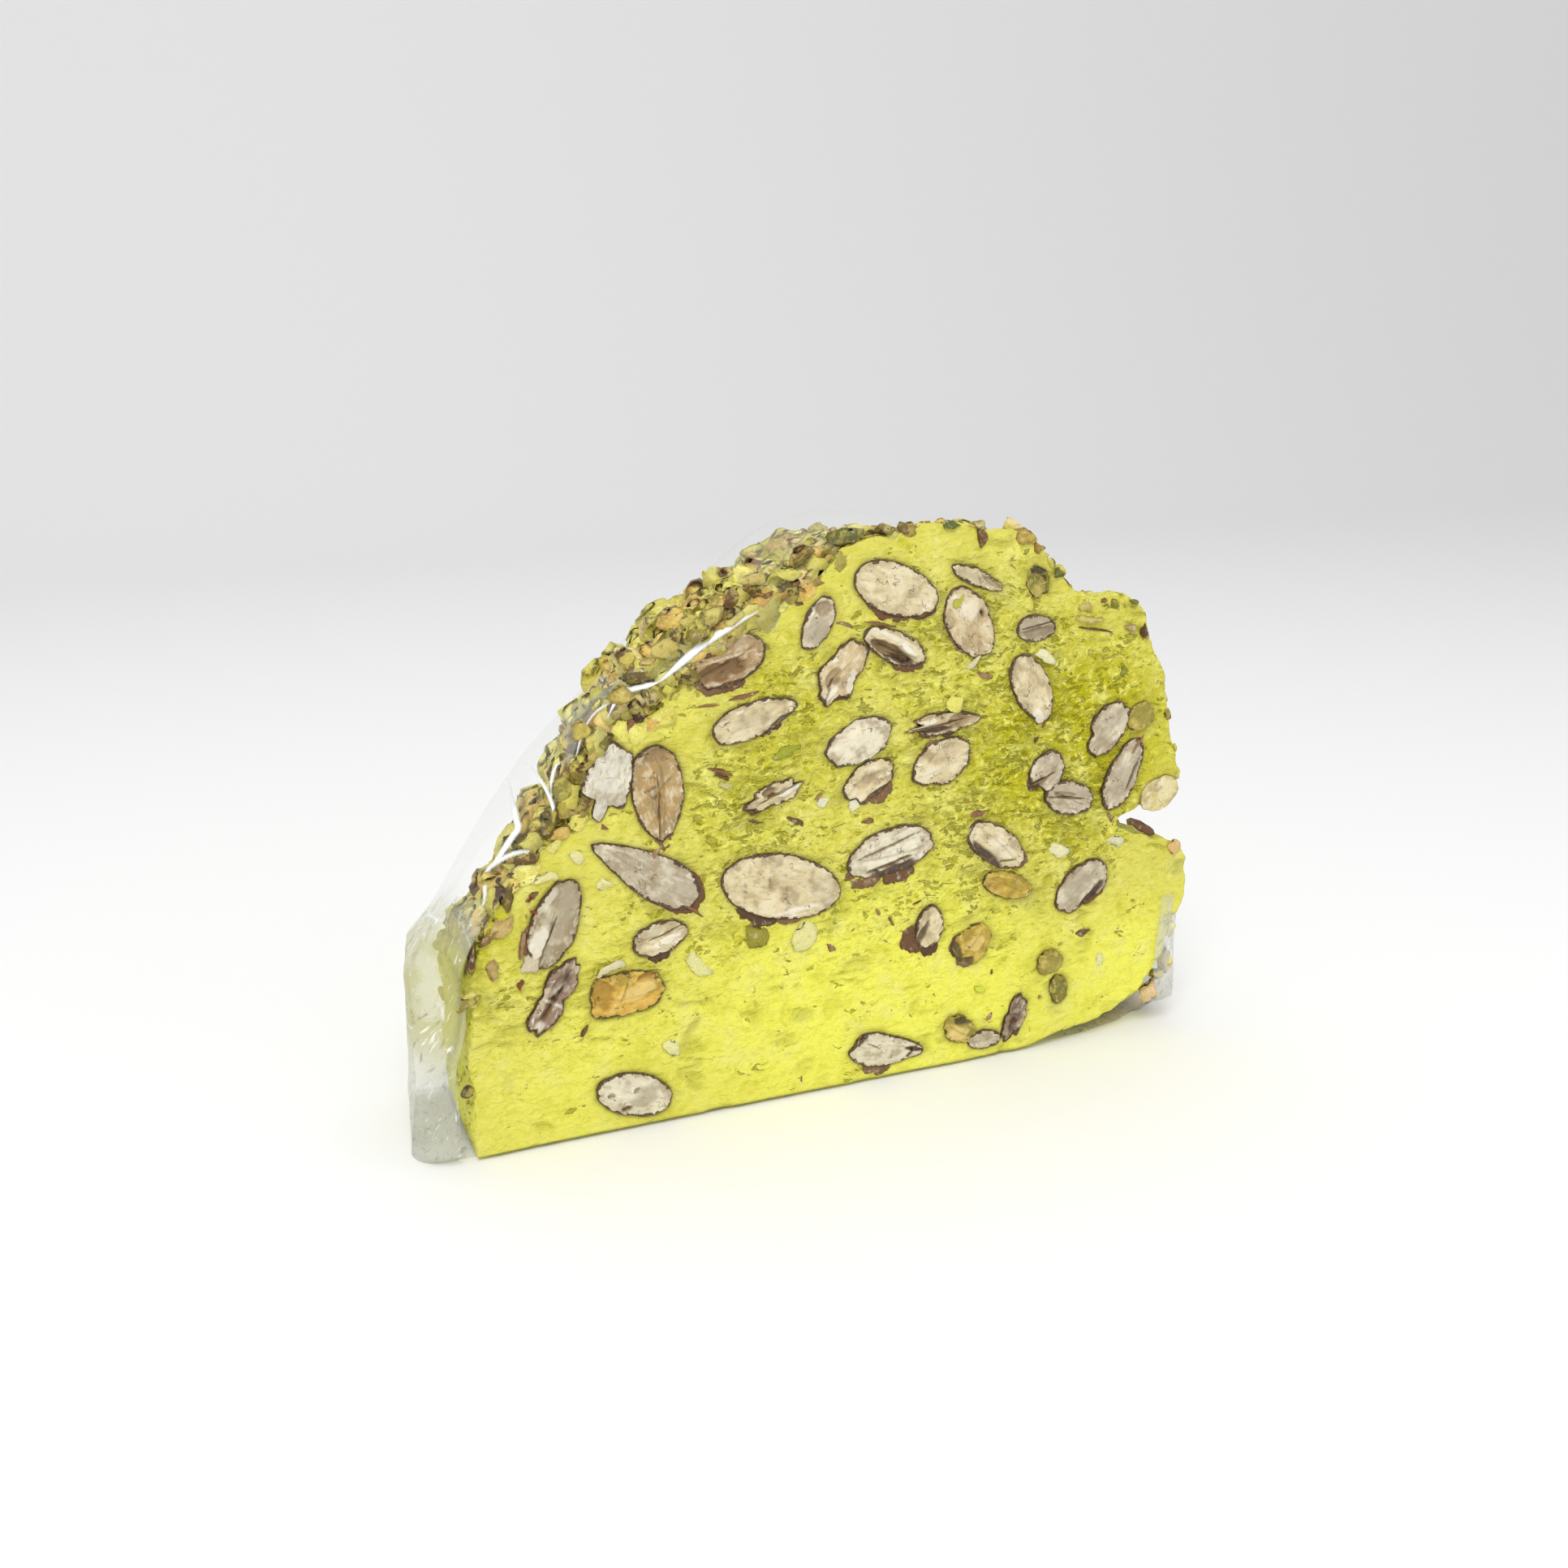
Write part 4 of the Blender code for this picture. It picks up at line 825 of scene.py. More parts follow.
# Front face, crust and back face as one closed form; the ring of points is thinned to every
# second one behind the front edge
def nougatMesh():
    across, upward = nougatShape["across"], nougatShape["upward"]
    allFront = {**almondCuts, **pistachioCuts}
    ring = nougatRing(slab["front"])
    patch = patchBetween(ring, across, upward).reshape(-1, 2)
    x, z = patch[:, 0], patch[:, 1]
    rim = rimCloseness(x, z, ring)
    height, tearAndShade, nutShadow, rough = faceRelief(x, z, allFront, 0, rim)
    front = np.stack([x, slab["front"] - height, z], axis=1)
    tone = zoneSum(x, z, faceTones)
    columns = across + 1
    ids = np.arange((upward + 1) * columns).reshape(upward + 1, columns)
    faces = [gridFaces(upward + 1, columns)]
    points, values = [front], [np.stack([tone, tearAndShade, nutShadow, rough, 0.75 * rim], axis=1)]
    shares = ringShares()

    # The ring at depth y with its values, thinned by the step; gives its points' numbers
    def addRow(y, step):
        row = nougatRing(y)[::step]
        start = sum(len(p) for p in points)
        points.append(np.stack([row[:, 0], np.full(len(row), y), row[:, 1]], axis=1))
        crusted = smoothStep(row[:, 1], 1.0, 4.0) * np.clip(shares[::step] * 1.4 + 0.1, 0, 1)
        zero = np.zeros(len(row))
        tone = zoneSum(row[:, 0], row[:, 1], faceTones) + 0.3 * noiseAt(points[-1], 12.0, 41)
        # painted light: the nougat's lower left side, which the lamps leave in shade, turns lemon
        tone += 0.8 * smoothStep(-row[:, 0], 68, 76) * (1 - smoothStep(row[:, 1], 34, 46))
        values.append(np.stack([tone, zero, zero, zero + 0.4, crusted], axis=1))
        return start + np.arange(len(row))

    # Four-sided faces between two rings
    def bridge(near, far):
        faces.append(np.stack([near, np.roll(near, -1), np.roll(far, -1), far], axis=1))

    def thin(near, far):  # from a ring to one of half as many points
        a, b, c = near[::2], near[1::2], np.roll(near[::2], -1)
        faces.append(np.stack([a, b, far], axis=1))
        faces.append(np.stack([b, np.roll(far, -1), far], axis=1))
        faces.append(np.stack([b, c, np.roll(far, -1)], axis=1))

    last = gridRim(ids)
    for y in (slab["front"] + 0.5, slab["front"] + 1.2):
        row = addRow(y, 1)
        bridge(last, row)
        last = row
    row = addRow(slab["front"] + 2.2, 2)
    thin(last, row)
    last = row
    for y in np.linspace(slab["front"] + 3.4, slab["back"] - 0.6, 19):
        row = addRow(y, 2)
        bridge(last, row)
        last = row

    backPatch = patchBetween(nougatRing(slab["back"])[::2], across // 2, upward // 2).reshape(-1, 2)
    x, z = backPatch[:, 0], backPatch[:, 1]
    height, tearAndShade, nutShadow, rough = faceRelief(x, z, backCuts, 1)
    start = sum(len(p) for p in points)
    points.append(np.stack([x, slab["back"] + height, z], axis=1))
    tone = 0.5 * noiseAt(points[-1], 30.0, 43) + 0.2
    values.append(np.stack([tone, tearAndShade, nutShadow, np.full_like(x, rough), x * 0], axis=1))
    columns, rows = across // 2 + 1, upward // 2 + 1
    faces.append(gridFaces(rows, columns, start=start)[:, ::-1])
    ids = start + np.arange(rows * columns).reshape(rows, columns)
    bridge(last, gridRim(ids))
    return np.vstack(points), faces, np.vstack(values)


# How near face points lie to the crusted outline: 1 on it, 0 beyond a reach that grows with how
# thickly the crust lies there
def rimCloseness(x, z, ring):
    edge, shares = ring[::4].astype(np.float32), ringShares("faceTop")[::4].astype(np.float32)
    far = np.hypot(x.astype(np.float32)[:, None] - edge[:, 0], z.astype(np.float32)[:, None] - edge[:, 1])
    close = (1 - far / (1 + 4.0 * shares)) * smoothStep(shares, 0.15, 0.6)
    return np.clip(close.max(axis=1), 0, 1)


# The nougat's mesh with its five attributes, in place of its solid
def buildNougat():
    points, faces, values = nougatMesh()
    names = ("tone", "tearAndShade", "nutShadow", "rough", "crust")
    piece = makePiece("nougat_body", points, faces, nougatFinish(),
                      floats={name: values[:, k] for k, name in enumerate(names)})
    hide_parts("nougat")
    print("nougat body:", len(points), "points")


# The cut nuts

nutShape = {
    "sides": 80, "faceRows": 24, "proud": 0.15, "dome": 0.2, "depthShare": 0.75, "depthLeast": 1.6,
    "rim": [(1.012, 0.12), (1.02, 0.35), (1.0, 0.7), (0.94, 0.95)],
    "under": [(0.78, 0.5), (0.5, 0.8)],
    "pit": 0.20, "grain": 0.06, "flake": 0.65, "sunk": 1.1,
    "rimless": {"peeled": 0.7, "olive": 0.42, "honey": 0.34, "green": 0.3, "golden": 0.1},
}
fleshTones = {
    "cream": (216, 200, 156), "white": (226, 217, 190), "tan": (204, 182, 138), "grey": (190, 177, 152),
    "ash": (208, 203, 186),
    "dull": (152, 136, 104), "brown": (172, 140, 94), "amber": (180, 148, 88), "skin": (140, 112, 96),
    "peeled": (222, 206, 140), "green": (118, 116, 42), "olive": (154, 142, 58), "honey": (190, 160, 54),
    "golden": (218, 174, 72),
}


# A level of 0 to 1 turned into steps with soft edges
def terrace(level, steps):
    lower = np.floor(level * steps)
    return (lower + smoothStep(level * steps - lower, 0.3, 0.6)) / steps


# Strength of each kind of mark at points given from the nut's middle along the slice's axes
def markSums(name, dx, dz, spots):
    found = {kind: np.zeros(len(dx)) for kind in ("hollow", "skin", "pale", "grey", "crack", "hole")}
    ragged = 0.22 * noiseAt(spots, 1.3, 61) + 0.12 * noiseAt(spots, 0.6, 62)
    for kind, x, z, halfLength, halfWidth, angle, strength in nutMarks.get(name, []):
        c, s = math.cos(math.radians(angle)), math.sin(math.radians(angle))
        along = ((dx - x) * c + (dz - z) * s) / halfLength
        across = ((dz - z) * c - (dx - x) * s) / halfWidth
        soft = 1 - smoothStep(np.hypot(along, across) + ragged, 0.75, 1.2)
        found[kind] = np.maximum(found[kind], soft * strength)
    return found


# A closed grid of angle and rows: from the middle of the cut outwards, round the rim, and under.
# Relief: a low dome, noise pits, flaked steps, a cleft along the nut, and the nut's own marks
def nutMesh(name, cut, side):
    px, pz, length, width, angle, taper, ragged, flesh, split, step = cut
    form = nutShape
    seed = nutSeed(name)
    angles = np.linspace(0, 2 * math.pi, form["sides"], endpoint=False)
    swell = rimSwell(name, cut, angles)
    rimU = length / 2 * np.cos(angles) * swell
    rimV = width / 2 * np.sin(angles) * (1 - taper * np.cos(angles)) * swell
    jag = 0.3 * ragged * noiseAt(np.stack([rimU, rimU * 0 + seed, rimV], axis=1), 1.0, seed)
    rimU, rimV = rimU * (1 + jag), rimV * (1 + jag)
    depth = max(form["depthLeast"], form["depthShare"] * width / 2)
    share = np.linspace(0, 1, form["faceRows"] + 1)[1:]
    scale = np.concatenate([share, [s for s, _ in form["rim"]], [s for s, _ in form["under"]]])
    lows = np.concatenate([np.zeros(len(share)), [d for _, d in form["rim"]],
                           [d * depth for _, d in form["under"]]])
    u = np.concatenate([[0], (scale[:, None] * rimU).reshape(-1)])
    v = np.concatenate([[0], (scale[:, None] * rimV).reshape(-1)])
    low = np.concatenate([[0], np.repeat(lows, form["sides"])])
    rho = np.concatenate([[0], np.repeat(scale, form["sides"])])
    onFace = 1 - smoothStep(low, 0, 0.3)
    spots = np.stack([u, np.full_like(u, seed * 3.7), v], axis=1)
    c, s = math.cos(math.radians(angle)), math.sin(math.radians(angle))
    dx, dz = u * c - v * s, u * s + v * c
    marks = markSums(name, dx, dz, spots)
    line = v - 0.12 * width * np.sin(u / length * 3 + seed)
    cleft = 0.6 * split * np.exp(-(line / 0.22) ** 2) * (1 - smoothStep(rho, 0.65, 0.95))
    chipped = np.clip(ragged * 14, 0.15, 1)
    steps = terrace(0.5 + 0.5 * layeredNoise(spots, 2.4, 2, 0.5, seed + 9), 3) - 0.5
    level = max(step, 0) * smoothStep(-line, -0.1, 0.25) * 0.5 * (1 - smoothStep(rho, 0.8, 1))
    relief = form["dome"] * (1 - rho ** 2) + form["pit"] * layeredNoise(spots, 1.8, 2, 0.6, seed)
    relief += form["grain"] * noiseAt(spots, 0.7, seed + 5) + form["flake"] * chipped * steps - level
    relief += 0.3 * marks["pale"] - 0.4 * marks["skin"] - 0.3 * marks["crack"] - 0.35 * cleft
    relief -= form["sunk"] * np.maximum(marks["hollow"], marks["hole"])
    y = slab["front"] - form["proud"] - relief * onFace + low
    points = np.stack([px + dx, y, pz + dz], axis=1)
    points = np.vstack([points, [[px, slab["front"] + depth, pz]]])
    if side > 0:
        points[:, 1] *= -1
    points[:, 2] = np.maximum(points[:, 2], slab["underside"] + 0.1)
    reach = np.hypot(rimU, rimV)
    steepness = np.hypot(rimU / (length / 2) ** 2, rimV / (width / 2) ** 2) / np.maximum(reach, 1e-6)
    across = np.minimum(1 / np.maximum(reach * steepness, 1e-6), reach)
    edge = np.concatenate([[width / 2], ((1 - scale)[:, None] * across).reshape(-1), [-1]])
    rows, count = len(scale), form["sides"]
    faces = [fanFaces(0, 1, count), gridFaces(rows, count, wrapped=True, start=1)[:, ::-1],
             fanFaces(len(points) - 1, 1 + (rows - 1) * count, count, flip=True)]
    if side > 0:
        faces = [group[:, ::-1] for group in faces]
    spots = np.vstack([spots, spots[:1] + [0, depth, 0]])
    spots[:-1, 1] += low
    edge += form["rimless"].get(flesh, 0)
    # the cleft value, with the cracks and holes, also sets the painted shade in them
    floats = {"edge": edge, "cleft": np.maximum(cleft, np.maximum(marks["crack"], marks["hole"])),
              "hollow": np.clip(marks["hollow"], 0, 1), "skinned": marks["skin"], "pale": marks["pale"],
              "grey": marks["grey"]}
    floats = {key: values if key == "edge" else np.append(values, 0) for key, values in floats.items()}
    return points, faces, spots, floats, flesh


# Each cut nut in place of its solid, its flesh tone times a share drawn for that nut; side is 1
# for the back face
def buildNuts(cuts, finish, slotName, side=-1):
    for name, cut in cuts.items():
        points, faces, spots, floats, flesh = nutMesh(name, cut, side)
        rng = np.random.default_rng(nutSeed(name))
        base = np.array(tint(*fleshTones[flesh])) * rng.uniform(0.93, 1.05)
        piece = makePiece("cut_" + name, points, faces, finish, floats, {"spot": spots},
                          {"flesh": np.tile(base, (len(points), 1))})
        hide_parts(name)
    print("cut nuts:", len(cuts), slotName)


# Skins and chips in the face

# Broken skin that hugs a nut's rim: the nut, from and to which angle along the slice's axes,
# and its width in millimetres
skinPlates = {
    "thick": 0.5, "steps": 40, "colours": [(112, 78, 50), (90, 64, 42), (128, 96, 64)],
    "places": [
        ("almond_01", 196, 300, 1.5), ("almond_01", 292, 336, 0.9), ("almond_02", 205, 262, 0.8),
        ("almond_06", 262, 336, 1.5), ("almond_07", 250, 290, 0.8), ("almond_09", 205, 262, 1.4),
        ("almond_09", 252, 312, 1.0), ("almond_10", 286, 344, 1.2), ("almond_12", 272, 352, 1.7),
        ("almond_13", 190, 250, 0.8), ("almond_13", 268, 330, 0.8), ("almond_16", 262, 292, 2.0),
        ("almond_17", 190, 250, 1.0), ("almond_18", 196, 240, 1.3), ("almond_23", 196, 246, 2.6),
        ("almond_23", 252, 326, 2.3), ("almond_24", 120, 200, 0.8), ("almond_24", 300, 350, 0.8),
        ("almond_25", 280, 352, 0.9), ("almond_26", 196, 262, 2.3), ("almond_26", 258, 300, 1.2),
        ("almond_27", 300, 352, 1.6), ("almond_28", 232, 300, 1.6), ("almond_29", 178, 236, 1.3),
        ("almond_31", 166, 250, 3.3), ("almond_31", 236, 296, 1.8), ("almond_33", 200, 284, 2.1),
        ("almond_35", 240, 300, 0.9), ("pistachio_05", 150, 214, 0.9), ("pistachio_05", 220, 276, 1.1),
        ("almond_21", 20, 70, 0.6), ("almond_20", 300, 340, 0.6), ("almond_14", 100, 140, 0.7),
    ],
}
# Loose pieces of skin in the face: x, height, length, width and turn. Here and below, depth is how
# far behind the face's plane a piece's middle lies, and shade how dark its sunk side turns
looseSkins = {
    "thick": 0.3, "depth": -0.1, "shade": 0.7,
    "colours": [(142, 100, 66), (112, 78, 52), (164, 126, 88)],
    "places": [
        (-26.0, 82.0, 8.0, 0.9, 12), (52.3, 89.4, 9.0, 0.45, -10), (-31.5, 81.0, 4.4, 0.7, 2),
        (-47.2, 78.6, 2.6, 1.4, 60), (67.6, 45.6, 8.6, 2.4, -30), (-68.6, 40.6, 6.6, 1.0, 78),
        (-29.6, 68.4, 5.0, 1.2, -16), (-28.8, 67.0, 3.6, 1.1, -20), (26.6, 82.0, 4.2, 1.3, -14),
        (26.8, 53.9, 5, 1.2, 4), (53.1, 24.5, 4.4, 1.5, 14), (43.3, 11.8, 1.4, 0.9, 0),
        (-34.8, 41.8, 5.2, 0.9, -34), (-57.5, 21.6, 3.4, 0.9, 50), (-4.4, 94.2, 3.6, 1.0, -20),
        (3.8, 93.6, 7.0, 0.8, -8), (12.4, 94.6, 3.0, 0.8, 20), (4.0, 36.0, 2.2, 1.0, -50),
        (7.0, 33.8, 2.0, 0.9, -60), (12.8, 37.0, 2.4, 0.6, 20), (-6.4, 30.4, 2.4, 1.3, -60),
        (1.2, 55.2, 2.8, 1.3, -14), (-13.8, 56.8, 4.6, 1.0, -24), (-9.4, 61.6, 3.4, 0.7, 40),
        (41.2, 70.6, 1.6, 1.0, 40), (39.6, 67.6, 1.4, 0.8, 60), (-42.2, 55.0, 3.4, 1.8, 60),
        (-52.6, 60.6, 2.2, 1.6, 0), (0.6, 9.6, 3.0, 1.0, 42), (-66.4, 52.4, 3.0, 1.6, -6),
        (-66.2, 49.4, 2.2, 1.2, 30), (-69.0, 33.2, 1.8, 0.8, 70), (64.4, 63.6, 5.4, 0.7, 55),
        (58.6, 49.4, 3.4, 0.7, -60), (12.4, 5.4, 4.4, 0.8, 34), (30.2, 9.6, 2.0, 1.2, 60),
        (30.8, 19.4, 1.0, 0.5, 70), (-22.4, 58.0, 2.8, 0.7, -8), (45.9, 81.6, 1.2, 0.7, 0),
        (-12.8, 3.4, 0.5, 1.2, 0),
    ],
}
# Small chips of nut and nougat, with a colour each
faceChips = {
    "thick": 0.5, "depth": -0.1, "shade": 0.15,
    "places": [
        (-22.4, 34.5, 8.6, 5.4, -6, (158, 148, 52)), (20, 77.3, 5.2, 3.6, -24, (230, 224, 108)),
        (40.8, 85.2, 6.4, 2.8, -42, (234, 228, 180)), (-2.0, 58.5, 3.5, 2.0, 60, (234, 230, 192)),
        (75.2, 40.7, 4, 3.3, 0, (222, 186, 120)), (45.6, 44.2, 6, 3, -16, (234, 228, 180)),
        (57.8, 17.4, 4.6, 3.2, 70, (236, 231, 166)), (-34.5, 31.6, 6.6, 3.6, -32, (232, 227, 152)),
        (-39.9, 15.2, 4.5, 3, -12, (236, 232, 164)), (-12.6, 33.8, 6, 4.5, 20, (232, 226, 152)),
        (-52.2, 33.5, 8, 2.2, 16, (232, 222, 178)),
        (60.8, 80.6, 2.2, 2.6, 0, (140, 142, 50)), (-16.2, 71.0, 6.5, 2.2, 10, (160, 166, 44)),
        (-29, 65.5, 3.2, 1.4, 0, (196, 188, 120)),
        (20.4, 97.0, 3.0, 1.6, 60, (190, 188, 70)), (24.5, 85.0, 4.0, 1.6, 40, (222, 214, 170)),
        (-52.8, 49.8, 4.6, 3.0, -40, (234, 227, 156)), (40.5, 72.3, 3.0, 2.4, 40, (222, 214, 196)),
        (28, 16, 3.0, 2.2, 20, (214, 222, 60)), (60, 44, 5, 2.4, -20, (222, 220, 176)),
        (33.5, 66.8, 3.2, 1.6, 0, (206, 206, 80)), (-8.6, 60.2, 3.6, 1.8, 50, (232, 226, 200)),
        (-67.4, 36.6, 7.4, 2.8, 74, (212, 198, 166)), (-67.2, 48.8, 2.4, 1.1, 10, (136, 62, 32)),
        (-66.4, 46.4, 1.8, 0.8, -20, (142, 70, 36)), (-69.4, 33.0, 1.4, 2.4, 10, (140, 72, 40)),
        (-64.0, 52.2, 4.6, 2.0, 14, (232, 224, 154)), (-58.0, 55.8, 3.4, 2.2, -50, (230, 224, 160)),
    ],
}
# Larger pieces of the crust in the face's rim: the crown's from left to right, then the left side's
rimPieces = {
    "thick": 1.6, "depth": 0.3, "shade": 0.7,
    "places": [
        (-3.2, 110.6, 7.8, 3.4, 6, (108, 112, 54)), (4.0, 111.4, 3.8, 2.4, -8, (140, 120, 66)),
        (9.6, 111.6, 3.8, 2.4, 0, (134, 106, 56)), (18.2, 112.0, 4.8, 2.4, -6, (98, 108, 50)),
        (25.4, 108.8, 2.8, 4.8, 4, (112, 82, 52)), (24.9, 111.4, 4.4, 2.4, 0, (200, 188, 132)),
        (35.2, 108.3, 4.8, 3.2, -24, (176, 148, 66)), (38.6, 106.2, 3.6, 3.0, -45, (168, 134, 64)),
        (-79.2, 31.0, 4.6, 3.0, 10, (150, 138, 60)), (-79.4, 14.4, 3.0, 2.6, 40, (120, 108, 60)),
        (43.6, 101.4, 3.2, 2.8, 60, (110, 118, 50)), (50.6, 94.4, 5.2, 3.2, -6, (206, 186, 108)),
        (54.6, 95.2, 1.5, 1.3, 0, (138, 98, 52)), (57.2, 93.9, 2.4, 2.2, 0, (146, 142, 46)),
        (62.0, 94.4, 2.4, 1.4, -30, (122, 124, 52)), (52.2, 91.2, 8.0, 1.5, -10, (206, 188, 112)),
        (-74.0, 35.6, 5.2, 2.9, 76, (186, 160, 98)), (-77.8, 39.8, 6.4, 1.2, 84, (104, 66, 52)),
        (-72.8, 50.6, 5.6, 1.8, 70, (92, 66, 46)), (-70.8, 49.6, 5.0, 2.2, 76, (116, 96, 52)),
        (-72.0, 44.8, 5.6, 3.4, 62, (206, 178, 108)), (-74.6, 42.4, 3.8, 2.0, 40, (150, 118, 70)),
        (-55.6, 78.4, 5.4, 4.0, 30, (200, 180, 88)), (-52.0, 76.4, 4.0, 3.0, -30, (122, 110, 50)),
        (-40.4, 92.0, 5.6, 3.6, 34, (206, 188, 106)), (-35.8, 97.0, 4.8, 3.0, 20, (204, 190, 98)),
        (-30.8, 97.6, 5.4, 3.8, -20, (216, 202, 116)), (-27.0, 99.8, 3.4, 4.6, -20, (118, 88, 58)),
        (-23.0, 103.4, 6.4, 4.0, 10, (218, 200, 120)), (-45.6, 87.6, 4.6, 3.2, 10, (108, 92, 50)),
        (-16.4, 104.6, 5.6, 3.4, -10, (216, 208, 104)), (-13.0, 107.6, 6.6, 3.0, 24, (142, 114, 60)),
        (-62.4, 62.2, 6.0, 4.0, 50, (128, 112, 50)), (-66.6, 57.0, 5.4, 3.4, 40, (112, 84, 48)),
        (-60.6, 67.8, 4.6, 3.6, 60, (146, 138, 62)), (-70.0, 55.2, 4.2, 2.6, 30, (196, 188, 92)),
        (61.6, 89.2, 3.2, 2.4, 0, (178, 156, 108)), (65.2, 88.2, 1.4, 3.6, -8, (98, 68, 48)),
        (-46.2, 82.0, 5.2, 2.9, -66, (64, 40, 34)), (-38.2, 94.4, 3.6, 2.4, 60, (112, 84, 50)),
        (-33.6, 94.6, 4.4, 2.6, 10, (150, 134, 64)), (-26.2, 96.2, 4.0, 2.8, 40, (212, 198, 120)),
        (-20.0, 100.6, 4.6, 2.6, 20, (130, 98, 60)), (-43.4, 90.2, 3.6, 2.6, -20, (196, 172, 100)),
        (-48.6, 84.0, 4.2, 3.2, 30, (188, 166, 84)),
    ],
}
# What shows through the film at the lower right
cornerPieces = {
    "thick": 2.0, "depth": 1.6, "shade": 0.7,
    "places": [(72.4, 7.6, 6.6, 4.8, 20, (234, 204, 156)), (76.4, 14.2, 3.2, 6.0, 6, (236, 226, 150)),
               (77.0, 21.8, 2.6, 4.6, 0, (236, 230, 168)), (74.6, 11.4, 3.0, 2.6, 0, (226, 214, 120))],
}


# How a chunk is made: points round it, steps of height, cuts, and how near a cut comes at most
chunkGrids = {"face": (18, 9, 14, 0.3), "crust": (10, 6, 8, 0.45)}


# Chunks: unit balls on a grid of angle and height, with flat sides where random planes cut them
def chunkForms(count, use, rng):
    sides, rings, cuts, shallow = chunkGrids[use]
    angle = np.linspace(0, 2 * math.pi, sides, endpoint=False)
    high = np.linspace(0, math.pi, rings + 1)[1:-1][:, None]
    ball = np.stack([np.sin(high) * np.cos(angle), np.sin(high) * np.sin(angle),
                     np.cos(high) + 0 * angle], axis=-1).reshape(-1, 3)
    ball = np.vstack([[[0, 0, 1]], ball, [[0, 0, -1]]])
    forms = np.repeat(ball[None], count, axis=0)
    for _ in range(cuts):
        normal = rng.normal(size=(count, 3))
        normal /= np.linalg.norm(normal, axis=1)[:, None]
        reach = rng.uniform(shallow, 0.9, count)
        over = np.einsum("nvk,nk->nv", forms, normal) - reach[:, None]
        forms = forms - np.maximum(over, 0)[..., None] * normal[:, None, :]
    last = len(ball) - 1
    faces = [fanFaces(0, 1, sides), gridFaces(rings - 1, sides, wrapped=True, start=1)[:, ::-1],
             fanFaces(last, 1 + (rings - 2) * sides, sides, flip=True)]
    return forms, [group[:, ::-1] if k == 1 else group for k, group in enumerate(faces)]


# The faces of one form repeated for each copy in a joined mesh
def repeatFaces(faces, copies, pointCount):
    offsets = np.arange(copies)[:, None, None] * pointCount
    return [(group[None] + offsets).reshape(-1, group.shape[1]) for group in faces]


# Turns each form by its own three angles, in radians, and moves it to its place
def placeForms(forms, half, angles, places):
    forms = forms * half[:, None, :]
    for axis, angle in zip((2, 0, 1), angles.T):
        a, b = [k for k in range(3) if k != axis]
        c, s = np.cos(angle)[:, None], np.sin(angle)[:, None]
        first, second = forms[..., a].copy(), forms[..., b].copy()
        forms[..., a], forms[..., b] = first * c - second * s, first * s + second * c
    return forms + places[:, None, :]


# Chunks set in the face at a depth behind its plane, with outlines made ragged by noise
def buildFaceBits(name, form, finish):
    rows = np.array([place[:5] for place in form["places"]], float)
    colours = [place[5] if len(place) > 5 else form["colours"][k % 3]
               for k, place in enumerate(form["places"])]
    forms, faces = chunkForms(len(rows), "face", np.random.default_rng(len(rows)))
    thick = np.full(len(rows), form["thick"])
    half = np.stack([rows[:, 2] / 2, thick, rows[:, 3] / 2], axis=1) * 1.25
    angles = np.zeros((len(rows), 3))
    angles[:, 2] = np.radians(rows[:, 4])
    y = np.full(len(rows), slab["front"] + form["depth"])
    places = np.stack([rows[:, 0], y, rows[:, 1]], axis=1)
    # painted shade on the side that sinks into the face
    deep = form["shade"] * (1 - smoothStep(-forms[..., 1], 0.0, 0.55))
    points = placeForms(forms, half, angles, places).reshape(-1, 3)
    size = np.repeat(np.minimum(rows[:, 3], 2.0), forms.shape[1])
    points[:, 0] += 0.32 * size * layeredNoise(points, 1.7, 3, 0.7, 72)
    points[:, 2] += 0.32 * size * layeredNoise(points, 1.7, 3, 0.7, 73)
    points[:, 1] += 0.22 * layeredNoise(points, 1.0, 2, 0.6, 71)
    points[:, 2] = np.maximum(points[:, 2], slab["underside"] + 0.1)
    perForm = forms.shape[1]
    makePiece(name, points, repeatFaces(faces, len(rows), perForm), finish,
              {"skinSide": np.zeros(len(points)), "deep": deep.reshape(-1)}, None,
              {"tint": np.repeat([tint(*c) for c in colours], perForm, axis=0)})
    print("pieces in the face:", name, len(rows))


